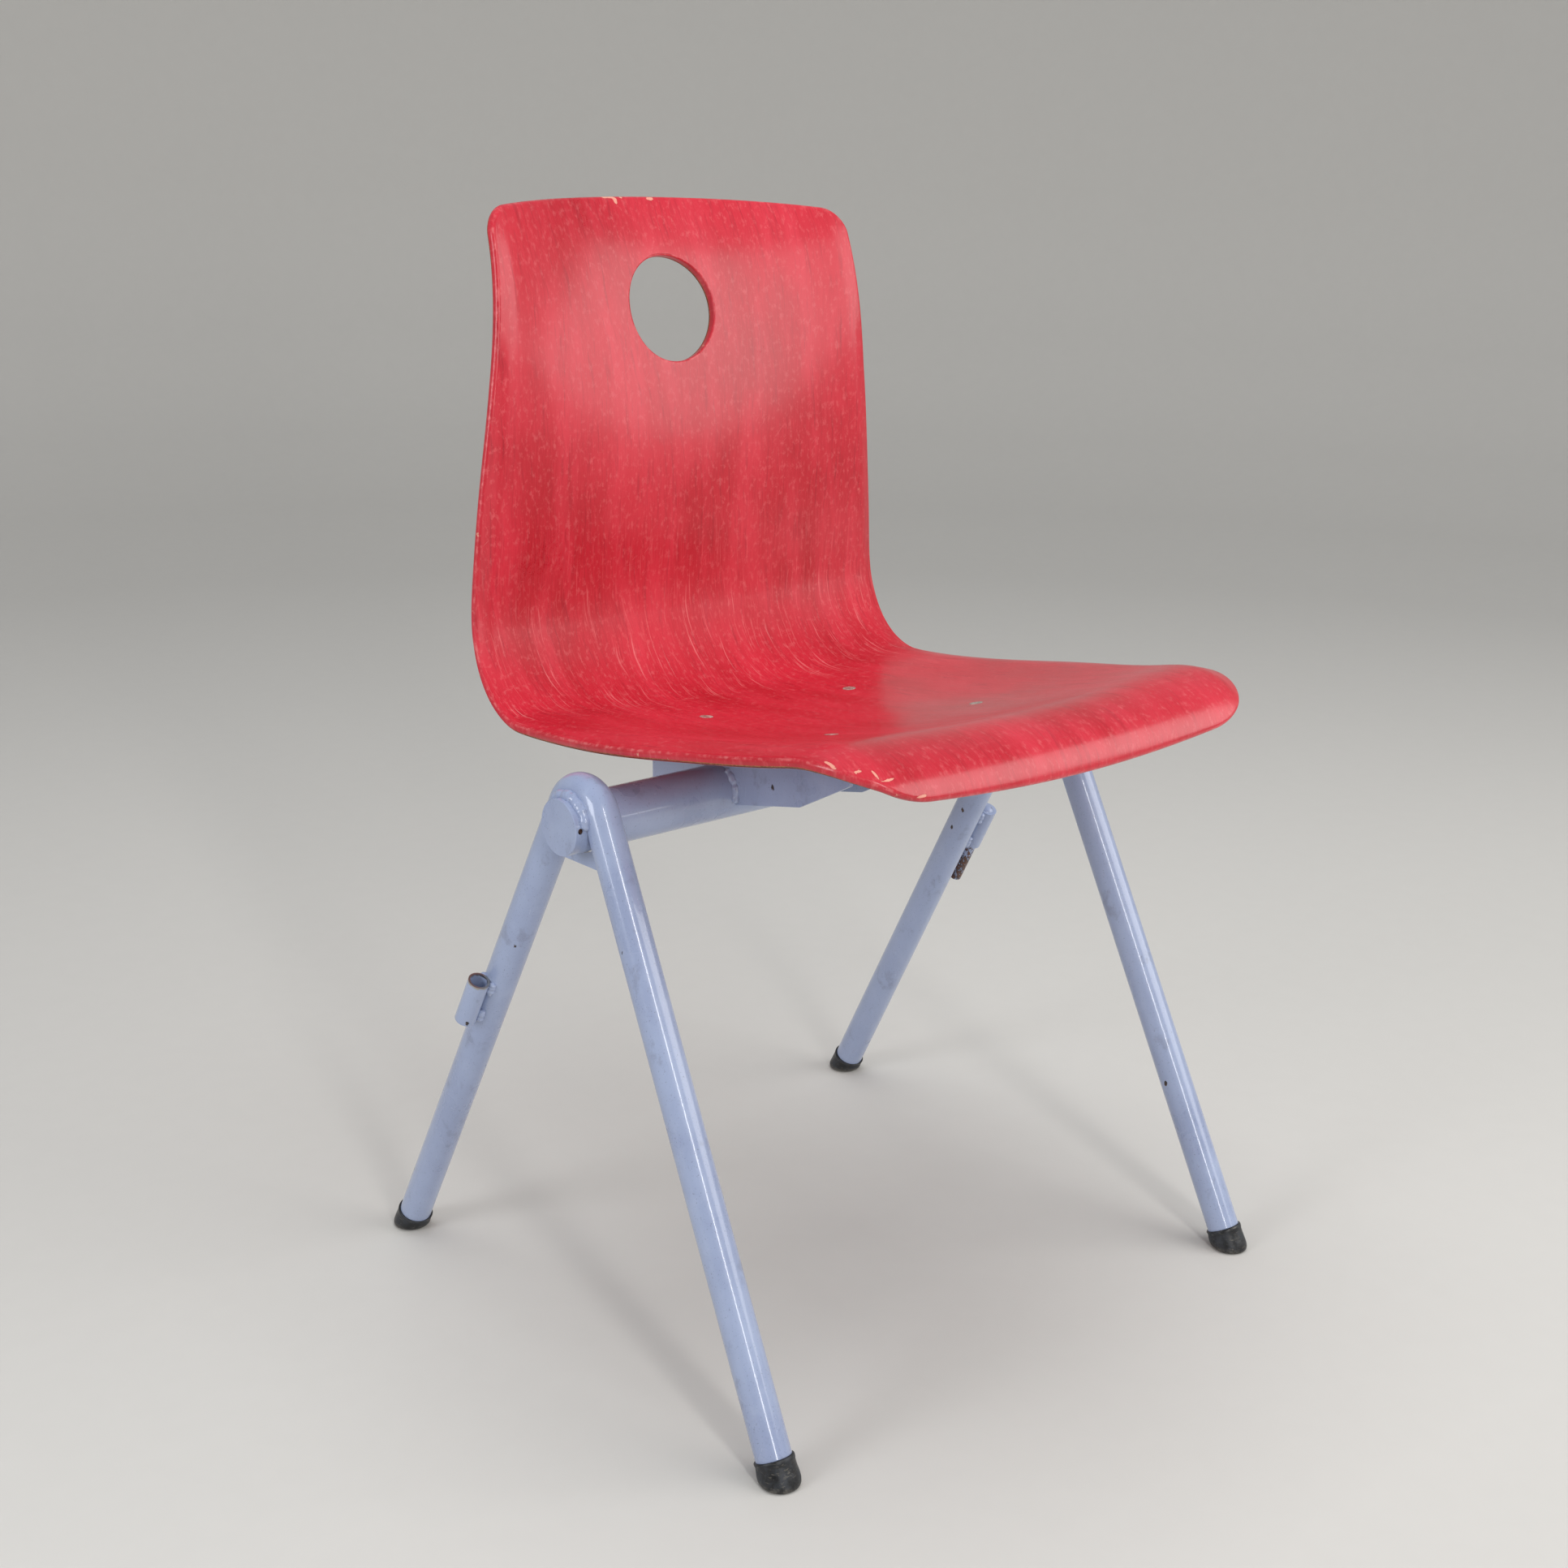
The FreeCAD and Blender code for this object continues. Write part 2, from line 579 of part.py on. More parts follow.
def frame_welds(filled_frame, bar):
    """Beads round the crossbar on both faces of each leg frame."""
    half_width = math.sqrt((LEG_OD / 2) ** 2 - (BEND_RADIUS - CROSSBAR_OD / 2) ** 2)
    beads = []
    for x in (FRAME_X - half_width, FRAME_X + half_width):
        bead = bead_round_crossbar(x, FRAME_WELD_RADIUS, *FRAME_WELD_ARC)
        beads.append(bead.cut(filled_frame).cut(bar))
    return solids_of(beads + [mirrored(b) for b in beads])


def bracket_welds(bracket, bar):
    """Beads between each bracket's outer side and the crossbar, in front and behind."""
    beads = []
    for arc in (BRACKET_FRONT_WELD_ARC, BRACKET_REAR_WELD_ARC):
        bead = bead_round_crossbar(BRACKET_OUTER_X, BRACKET_WELD_RADIUS, *arc)
        beads.append(bead.cut(bracket).cut(bar))
    return solids_of(beads + [mirrored(b) for b in beads])


def link_beads(distance_down, turn, filled_frame):
    """Short beads on both sides of a tube that lies along the leg, at its top and bottom."""
    top, down = beside_rear_leg(distance_down, turn)
    leg_start = place_point(REAR_LEG[0] + REAR_LEG[1] * distance_down)
    outwards = (top - leg_start).normalize()
    sideways = outwards.cross(down)
    tube = rod(top, down, LINK_TUBE_OD + 2 * WELD_GAP, LINK_TUBE_LENGTH)
    beads = []
    for along in (LINK_WELD_END, LINK_TUBE_LENGTH - LINK_WELD_END - LINK_WELD_LENGTH):
        for side in (LEFT, RIGHT):
            start = leg_start + outwards * LEG_OD / 2 + sideways * side * LINK_WELD_OFFSET + down * along
            beads.append(rod(start, down, 2 * LINK_WELD_RADIUS, LINK_WELD_LENGTH).cut(tube).cut(filled_frame))
    return beads


def linking_welds(filled_frame):
    at_socket = link_beads(SOCKET_TOP_BELOW_CROSSBAR, 0, filled_frame)
    at_pin = link_beads(PIN_TOP_BELOW_CROSSBAR, PIN_TURN, filled_frame)
    return solids_of([mirrored(b) for b in at_socket] + at_pin)


def main():
    os.makedirs("parts", exist_ok=True)
    filled_frame = filled_leg_frame()
    bar = rod(CROSSBAR_AXIS - ALONG_X * CROSSBAR_HALF_LENGTH, ALONG_X, CROSSBAR_OD + 2 * WELD_GAP,
              2 * CROSSBAR_HALF_LENGTH)
    top_of_sheet = SHELL_THICKNESS + BRACKET_UNDER_SHELL
    sheet = layer_solid(top_of_sheet, top_of_sheet + BRACKET_SHEET)
    above_bracket = layer_solid(-SHELL_THICKNESS, top_of_sheet + BRACKET_SHEET / 2)
    bracket = seat_bracket(above_bracket, sheet)
    pieces = {
        "seat_shell": seat_shell(),
        "crossbar": crossbar(),
        "linking_socket": mirrored(linking_socket()),
        "linking_pin_holder": linking_pin_holder(),
        "linking_pin": linking_pin(),
        "seat_bolts": seat_bolts(),
        "bolt_washers": bolt_washers(),
        "lock_nuts": lock_nuts(),
        "frame_welds": frame_welds(filled_frame, bar),
        "bracket_welds": bracket_welds(bracket, bar),
        "linking_welds": linking_welds(filled_frame),
    }
    in_pairs = {
        "leg_frame": leg_frame(),
        "end_cap": end_cap(),
        "cap_pin": cap_pin(),
        "gusset": gusset(),
        "foot_front": foot(FRONT_LEG),
        "foot_rear": foot(REAR_LEG),
        "seat_bracket": bracket,
    }
    for name, shape in in_pairs.items():
        for side, side_name in ((LEFT, "left"), (RIGHT, "right")):
            pieces[name + "_" + side_name] = on_side(shape, side)
    for name, shape in pieces.items():
        shape.exportStep("parts/%s.step" % name)
        box = shape.BoundBox
        print(name, "valid" if shape.isValid() else "NOT VALID", "solids", len(shape.Solids),
              "cm3 %.2f" % (shape.Volume / 1000),
              "X %.1f %.1f Y %.1f %.1f Z %.1f %.1f" % (box.XMin, box.XMax, box.YMin, box.YMax, box.ZMin, box.ZMax))


main()
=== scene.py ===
"""Looks of the stacking school chair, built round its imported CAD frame.

Metres in Blender, millimetres in the shape constants below. +Z is up and the sitter faces -Y.
"""
import math
import random

import bpy
import numpy as np
from mathutils import Matrix, Vector
from mathutils import noise as solid_noise
from mathutils.kdtree import KDTree


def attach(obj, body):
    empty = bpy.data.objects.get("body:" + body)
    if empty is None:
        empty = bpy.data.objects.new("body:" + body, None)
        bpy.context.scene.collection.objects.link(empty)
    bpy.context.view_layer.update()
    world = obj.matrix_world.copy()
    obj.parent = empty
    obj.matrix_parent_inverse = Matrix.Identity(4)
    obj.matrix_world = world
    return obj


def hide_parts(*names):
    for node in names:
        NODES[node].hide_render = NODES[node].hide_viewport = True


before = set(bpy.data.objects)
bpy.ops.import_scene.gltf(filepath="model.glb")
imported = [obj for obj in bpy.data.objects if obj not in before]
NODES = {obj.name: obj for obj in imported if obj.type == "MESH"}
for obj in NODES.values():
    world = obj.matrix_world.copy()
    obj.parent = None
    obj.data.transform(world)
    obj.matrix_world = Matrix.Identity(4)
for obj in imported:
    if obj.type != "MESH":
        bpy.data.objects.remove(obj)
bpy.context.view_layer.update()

MM = 0.001

# ------------------------------------------------------------------ shape constants, as in the CAD
SHELL_THICKNESS = 8.0
PROFILE = [(-245, 444), (-240, 459), (-202, 476), (-162, 467), (-95, 448.5), (-15, 434.5), (70.5, 429.5),
           (108.5, 428.8), (122.4, 429.5), (137.7, 434.2), (152.8, 443.8), (164.8, 457.2), (173.1, 473.1),
           (177.8, 492.5), (178, 516.5), (175.8, 545), (185, 686), (205, 760), (227, 804)]
HALF_WIDTH = [199, 206, 214, 208, 204.5, 196, 181, 170]
EDGE_RISE = [-2, 16, 24, 18, 14.5, 10, 25.5, 31]
FOLD_WIDTH = (25.0, 14.0)
FOLD_SLOPE = (0.38, 0.55)
FOLD_SOFTNESS = (6.0, 3.5)
FOLD_CHANGE = (0.46, 0.58)
FOLD_FADES_FROM = 0.82
FRONT_CORNER, FRONT_CROWN = 57.0, 13.0
TOP_CORNER, TOP_CROWN = 17.0, 26.0
HAND_HOLE_RADIUS = 40.75
HAND_HOLE_X = -1.5
HAND_HOLE_AT = (193.3, 720.5)

CROSSBAR_RADIUS = 20.0
CROSSBAR_Z = 395.5
LEG_RADIUS = 12.5
BEND_RADIUS = 22.0
FRAME_X, FOOT_X = 230.5, 240.6
FRONT_FOOT_REACH, REAR_FOOT_REACH = 223.0, 231.0
FOOT_HEIGHT = 17.0
LINK_TUBE_LENGTH = 40.0
SOCKET_BELOW, PIN_BELOW = 170.0, 122.0
PIN_TURN = math.radians(15)
BRACKET_X = 112.0
BOLT_X, REAR_BOLT_Y, FRONT_BOLT_Y = 73.0, 61.0, -76.0

# ------------------------------------------------------------------ shell mesh detail
ROWS, COLUMNS = 250, 144
EDGE_ROUNDING = 3.5
HOLE_ROUNDING = 1.6
ROUNDING_STEPS = 6
WALL_STEPS = 5
RIM_SUBDIVISIONS = 4
HOLE_BLOCK = 0.92                # half side of the block of squares that becomes the hole, per hole radius
HOLE_BLEND = 2.1                 # the grid is undisturbed this many half sides from the hole's middle
SEARCH_STEPS = 4000
SOLVE_STEPS = 12
NORMAL_STEP = 0.01
NORMAL_LIMIT = 0.998             # normals are taken no nearer the outline than this share of the half width


def spline(knots, values):
    """Smooth cubic through the values.

    Each end's slope is that of the cubic through its four nearest points.
    """
    knots, values = np.array(knots, float), np.array(values, float)
    n = len(knots)

    def end_slope(x, y):
        slope = y[0] * sum(1 / (x[0] - x[m]) for m in (1, 2, 3))
        for k in (1, 2, 3):
            weight = 1 / (x[k] - x[0])
            for m in (1, 2, 3):
                if m != k:
                    weight *= (x[0] - x[m]) / (x[k] - x[m])
            slope = slope + y[k] * weight
        return slope

    step = np.diff(knots)
    rise = np.diff(values, axis=0) / step[:, None]
    system, wanted = np.eye(n), np.zeros_like(values)
    wanted[0] = end_slope(knots[:4], values[:4])
    wanted[-1] = end_slope(knots[::-1][:4], values[::-1][:4])
    for i in range(1, n - 1):
        system[i, i - 1:i + 2] = step[i], 2 * (step[i - 1] + step[i]), step[i - 1]
        wanted[i] = 3 * (step[i] * rise[i - 1] + step[i - 1] * rise[i])
    slopes = np.linalg.solve(system, wanted)

    def at(t):
        t = np.clip(np.asarray(t, float), knots[0], knots[-1])
        i = np.clip(np.searchsorted(knots, t, side="right") - 1, 0, n - 2)
        h = step[i][..., None]
        s = ((t - knots[i]) / step[i])[..., None]
        a, b, p, q = values[i], values[i + 1], slopes[i] * h, slopes[i + 1] * h
        place = a + s * (p + s * (3 * (b - a) - 2 * p - q + s * (2 * (a - b) + p + q)))
        slope = (p + s * (2 * (3 * (b - a) - 2 * p - q) + s * 3 * (2 * (a - b) + p + q))) / h
        return place, slope

    return at


PROFILE_GAPS = np.linalg.norm(np.diff(np.array(PROFILE, float), axis=0), axis=1)
PROFILE_STEPS = np.concatenate([[0], np.cumsum(PROFILE_GAPS)])
PROFILE_LENGTH = PROFILE_STEPS[-1]
profile = spline(PROFILE_STEPS, PROFILE)
section = spline(np.linspace(0, PROFILE_LENGTH, len(HALF_WIDTH)), list(zip(HALF_WIDTH, EDGE_RISE)))


def upper(along, across):
    """Points on the shell's upper face."""
    place, slope = profile(along)
    slope = slope / np.linalg.norm(slope, axis=-1, keepdims=True)
    across_section = section(along)[0]
    half_width, edge_rise = across_section[..., 0], across_section[..., 1]
    share = along / PROFILE_LENGTH
    change = np.clip((share - FOLD_CHANGE[0]) / (FOLD_CHANGE[1] - FOLD_CHANGE[0]), 0, 1)
    fade = np.minimum(1, (1 - share) / (1 - FOLD_FADES_FROM))
    width, slope_down, softness = (a + (b - a) * change for a, b in (FOLD_WIDTH, FOLD_SLOPE, FOLD_SOFTNESS))
    past_fold = np.abs(across) - half_width + width
    fold = slope_down * fade * (past_fold + np.hypot(past_fold, softness)) / 2
    rise = edge_rise * (across / half_width) ** 2 - fold
    return np.stack([across, place[..., 0] - slope[..., 1] * rise, place[..., 1] + slope[..., 0] * rise], -1)


def upper_normal(along, across):
    limit = NORMAL_LIMIT * section(along)[0][..., 0]
    across = np.clip(across, -limit, limit)
    lengthwise = upper(along + NORMAL_STEP, across) - upper(along - NORMAL_STEP, across)
    crosswise = upper(along, across + NORMAL_STEP) - upper(along, across - NORMAL_STEP)
    normal = np.cross(crosswise, lengthwise)
    return normal / np.linalg.norm(normal, axis=-1, keepdims=True)


def shell_point(along, across, depth):
    return upper(along, across) - upper_normal(along, across) * np.asarray(depth)[..., None]


def corner_setback(across, half_width, radius):
    inside = np.clip((across - half_width + radius) / radius, 0, 1)
    return radius * (1 - np.sqrt(1 - inside ** 2))


def flat_place(row, column, inset):
    """Distance along the profile and across the shell of a grid point, on an outline moved inwards by inset."""
    share = np.sin(math.pi * (column / COLUMNS - 0.5))
    front, top = HALF_WIDTH[0] - inset, HALF_WIDTH[-1] - inset
    low = inset + FRONT_CROWN * share ** 2 + corner_setback(np.abs(share) * front, front, FRONT_CORNER - inset)
    high = (PROFILE_LENGTH - inset - TOP_CROWN * share ** 2
            - corner_setback(np.abs(share) * top, top, TOP_CORNER - inset))
    even = row / ROWS
    along = low + (high - low) * (0.5 * even + 0.25 * (1 - np.cos(math.pi * even)))
    return along, share * (section(along)[0][..., 0] - inset)


def hole_frame():
    """The hand hole's place along the profile and its upward direction, square to its axis."""
    tries = np.linspace(0.6 * PROFILE_LENGTH, PROFILE_LENGTH, SEARCH_STEPS)
    places, slopes = profile(tries)
    nearest = np.argmin(np.linalg.norm(places - np.array(HAND_HOLE_AT), axis=1))
    slope = slopes[nearest] / np.linalg.norm(slopes[nearest])
    return tries[nearest], np.array([0, slope[0], slope[1]])


HOLE_ALONG, HOLE_UP = hole_frame()
HOLE_MIDDLE = np.array([HAND_HOLE_X, *HAND_HOLE_AT])


def on_hole(right, up, depth):
    """Flat place whose point at this depth lies this far right of and above the hole's axis."""
    along, across = HOLE_ALONG + up, np.array(right, float)
    for _ in range(SOLVE_STEPS):
        point = shell_point(along, across, depth)
        across = across + HAND_HOLE_X + right - point[..., 0]
        along = along + up - (point - HOLE_MIDDLE) @ HOLE_UP
    return along, across


class ShellMesh:
    """Collects the shell's points with their flat place, depth and distance from an edge, then its faces."""

    def __init__(self):
        self.points, self.facts, self.faces, self.count = [], [], [], 0

    def add(self, along, across, depth, edge):
        depth, edge = np.broadcast_to(depth, along.shape), np.broadcast_to(edge, along.shape)
        self.points.append(shell_point(along, across, depth).reshape(-1, 3))
        self.facts.append(np.stack([across, along, depth, edge], -1).reshape(-1, 4))
        first, self.count = self.count, self.count + along.size
        return np.arange(first, self.count).reshape(along.shape)

    def skin(self, first, second):
        """Quads between two closed loops."""
        self.faces += np.stack([first, np.roll(first, -1), np.roll(second, -1), second], -1).tolist()


def rounded_wall(inset_start, rounding):
    """Insets and depths of the loops from the upper face, round the edge, to the lower face."""
    arc = [math.pi / 2 * k / ROUNDING_STEPS for k in range(ROUNDING_STEPS + 1)]
    upper_arc = [(inset_start - rounding * math.sin(a), rounding * (1 - math.cos(a))) for a in arc]
    wall = SHELL_THICKNESS - 2 * rounding
    straight = [(0.0, rounding + wall * k / WALL_STEPS) for k in range(1, WALL_STEPS)]
    lower_arc = [(inset, SHELL_THICKNESS - depth) for inset, depth in reversed(upper_arc)]
    return upper_arc[1:] + straight + lower_arc[:-1]


def build_shell():
    mesh = ShellMesh()
    rows, columns = np.meshgrid(np.arange(ROWS + 1), np.arange(COLUMNS + 1), indexing="ij")
    along, across = flat_place(rows, columns, EDGE_ROUNDING)

    # Index block round the hand hole, whose grid squares are drawn out into circles
    middle_column = COLUMNS // 2
    middle_row = int(np.argmin(np.abs(along[:, middle_column] - HOLE_ALONG)))
    hole_radius = HAND_HOLE_RADIUS + HOLE_ROUNDING
    block = HOLE_BLOCK * hole_radius
    half_columns = int(np.argmin(np.abs(across[middle_row, middle_column:] - block)))
    half_rows = int(np.argmin(np.abs(along[middle_row:, middle_column] - HOLE_ALONG - block)))
    right = (columns - middle_column) / half_columns
    up = (rows - middle_row) / half_rows
    ring = np.maximum(np.abs(right), np.abs(up))
    around = np.arctan2(up, right)
    near = (ring < HOLE_BLEND) & (ring > 0.99)
    keep = np.clip((ring - 1) / (HOLE_BLEND - 1), 0, 1)
    keep = keep * keep * (3 - 2 * keep)

    def warped(depth):
        """Flat places with the block round the hole drawn to a circle at this depth."""
        point = shell_point(along[near], across[near], np.full(near.sum(), depth))
        own_right, own_up = point[:, 0] - HAND_HOLE_X, (point - HOLE_MIDDLE) @ HOLE_UP
        k = keep[near]
        new_right = k * own_right + (1 - k) * hole_radius * np.cos(around[near])
        new_up = k * own_up + (1 - k) * hole_radius * np.sin(around[near])
        new_along, new_across = along.copy(), across.copy()
        new_along[near], new_across[near] = on_hole(new_right, new_up, np.full(near.sum(), depth))
        return new_along, new_across

    outline_rows = np.concatenate([np.zeros(COLUMNS), np.arange(ROWS),
                                   np.full(COLUMNS, ROWS), np.arange(ROWS, 0, -1)])
    outline_columns = np.concatenate([np.arange(COLUMNS), np.full(ROWS, COLUMNS),
                                      np.arange(COLUMNS, 0, -1), np.zeros(ROWS)])
    tree = KDTree(len(outline_rows) * RIM_SUBDIVISIONS)
    rim_along, rim_across = flat_place(outline_rows, outline_columns, 0.0)
    for k in range(RIM_SUBDIVISIONS):
        share = k / RIM_SUBDIVISIONS
        a = rim_along * (1 - share) + np.roll(rim_along, -1) * share
        b = rim_across * (1 - share) + np.roll(rim_across, -1) * share
        for i in range(len(a)):
            tree.insert((a[i], b[i], 0), k * len(a) + i)
    tree.balance()

    def edge_distance(a, b, depth):
        outline = np.array([tree.find((x, y, 0))[2] for x, y in zip(a.ravel(), b.ravel())]).reshape(a.shape)
        point = shell_point(a, b, np.full(a.shape, depth))
        from_hole = np.hypot(point[..., 0] - HAND_HOLE_X, (point - HOLE_MIDDLE) @ HOLE_UP) - HAND_HOLE_RADIUS
        return np.minimum(outline, np.abs(from_hole))

    grids = []
    for depth in (0.0, SHELL_THICKNESS):
        a, b = warped(depth)
        grids.append(mesh.add(a, b, depth, edge_distance(a, b, depth)))
    in_block = ring < 1.001
    inside_hole = in_block[:-1, :-1] & in_block[1:, 1:] & in_block[:-1, 1:] & in_block[1:, :-1]
    for grid, flip in ((grids[0], False), (grids[1], True)):
        quads = np.stack([grid[:-1, :-1], grid[:-1, 1:], grid[1:, 1:], grid[1:, :-1]], -1)[~inside_hole]
        mesh.faces += (quads[:, ::-1] if flip else quads).tolist()

    # Outer edge
    r, c = outline_rows.astype(int), outline_columns.astype(int)
    loop = grids[0][r, c]
    for inset, depth in rounded_wall(EDGE_ROUNDING, EDGE_ROUNDING):
        a, b = flat_place(outline_rows, outline_columns, inset)
        new = mesh.add(a, b, depth, inset)
        mesh.skin(new, loop)
        loop = new
    mesh.skin(grids[1][r, c], loop)

    # Rim of the hand hole
    lows = middle_row - half_rows, middle_column - half_columns
    highs = middle_row + half_rows, middle_column + half_columns
    r = np.concatenate([np.full(2 * half_columns, lows[0]), np.arange(lows[0], highs[0]),
                        np.full(2 * half_columns, highs[0]), np.arange(highs[0], lows[0], -1)])
    c = np.concatenate([np.arange(lows[1], highs[1]), np.full(2 * half_rows, highs[1]),
                        np.arange(highs[1], lows[1], -1), np.full(2 * half_rows, lows[1])])
    turn = around[r, c]
    loop = grids[0][r, c]
    for inset, depth in rounded_wall(HOLE_ROUNDING, HOLE_ROUNDING):
        radius = HAND_HOLE_RADIUS + inset
        depths = np.full(len(turn), depth)
        a, b = on_hole(radius * np.cos(turn), radius * np.sin(turn), depths)
        new = mesh.add(a, b, depths, inset)
        mesh.skin(loop, new)
        loop = new
    mesh.skin(loop, grids[1][r, c])
    return mesh


def keep_used(points, faces):
    """Indices of the points that some face uses, and the faces renumbered to them."""
    used = np.unique(np.array(faces))
    renumber = np.full(len(points), -1)
    renumber[used] = np.arange(len(used))
    return used, renumber[np.array(faces)].tolist()


def make_object(name, points, faces):
    mesh = bpy.data.meshes.new(name)
    mesh.from_pydata([tuple(p) for p in points], [], faces)
    mesh.validate()
    mesh.polygons.foreach_set("use_smooth", [True] * len(mesh.polygons))
    mesh.update()
    made = bpy.data.objects.new(name, mesh)
    bpy.context.scene.collection.objects.link(made)
    return made


# ------------------------------------------------------------------ material building
def srgb(red, green, blue):
    """A colour as it shows on screen, 0 to 255, in the linear values that shaders take."""
    def linear(v):
        v = v / 255
        return v / 12.92 if v <= 0.04045 else ((v + 0.055) / 1.055) ** 2.4
    return linear(red), linear(green), linear(blue), 1.0


class Look:
    """A material and short calls that add its nodes. Values are sockets or plain numbers."""

    def __init__(self, name):
        self.material = bpy.data.materials.new(name)
        self.material.use_nodes = True
        self.tree = self.material.node_tree
        self.shader = self.tree.nodes["Principled BSDF"]

    def put(self, socket, value):
        if isinstance(value, bpy.types.NodeSocket):
            self.tree.links.new(value, socket)
        elif value is not None:
            socket.default_value = value

    def node(self, kind, *values, **settings):
        made = self.tree.nodes.new(kind)
        for key, value in settings.items():
            setattr(made, key, value)
        for socket, value in zip(made.inputs, values):
            self.put(socket, value)
        return made

    def math(self, operation, a, b=None, c=None):
        return self.node("ShaderNodeMath", a, b, c, operation=operation).outputs[0]

    def attribute(self, name):
        return self.node("ShaderNodeAttribute", attribute_name=name)

    def place(self):
        return self.node("ShaderNodeTexCoord").outputs["Object"]

    def split(self, vector):
        return self.node("ShaderNodeSeparateXYZ", vector).outputs

    def combine(self, x, y, z=0.0):
        return self.node("ShaderNodeCombineXYZ", x, y, z).outputs[0]

    def stretched(self, vector, scale, shift=(0, 0, 0)):
        return self.node("ShaderNodeVectorMath", vector, scale, shift, operation="MULTIPLY_ADD").outputs[0]

    def noise(self, vector, detail=2.0, rough=0.5, distort=0.0):
        """Soft noise of about 0.3 to 0.7, one feature per unit of the vector."""
        made = self.node("ShaderNodeTexNoise", vector)
        made.inputs["Scale"].default_value = 1.0
        made.inputs["Detail"].default_value = detail
        made.inputs["Roughness"].default_value = rough
        made.inputs["Distortion"].default_value = distort
        return made.outputs[0]

    def spots(self, vector):
        """Distance to the nearest of scattered points, about one point per unit of the vector."""
        made = self.node("ShaderNodeTexVoronoi", vector)
        made.inputs["Scale"].default_value = 1.0
        return made.outputs["Distance"]

    def ramp(self, value, low, high, to_low=0.0, to_high=1.0):
        """Smooth step of value from low to high."""
        return self.node("ShaderNodeMapRange", value, low, high, to_low, to_high,
                         interpolation_type="SMOOTHSTEP").outputs[0]

    def mix(self, share, a, b):
        """Colour a with this share of colour b over it."""
        made = self.tree.nodes.new("ShaderNodeMix")
        made.data_type = "RGBA"
        for key, value in ((0, share), (6, a), (7, b)):
            self.put(made.inputs[key], value)
        return made.outputs[2]

    def bump(self, height, distance, strength=1.0, normal=None):
        made = self.tree.nodes.new("ShaderNodeBump")
        made.inputs["Strength"].default_value = strength
        made.inputs["Distance"].default_value = distance
        self.put(made.inputs["Height"], height)
        self.put(made.inputs["Normal"], normal)
        return made.outputs[0]

    def finish(self, **values):
        for key, value in values.items():
            self.put(self.shader.inputs[key.replace("_", " ")], value)
        return self.material


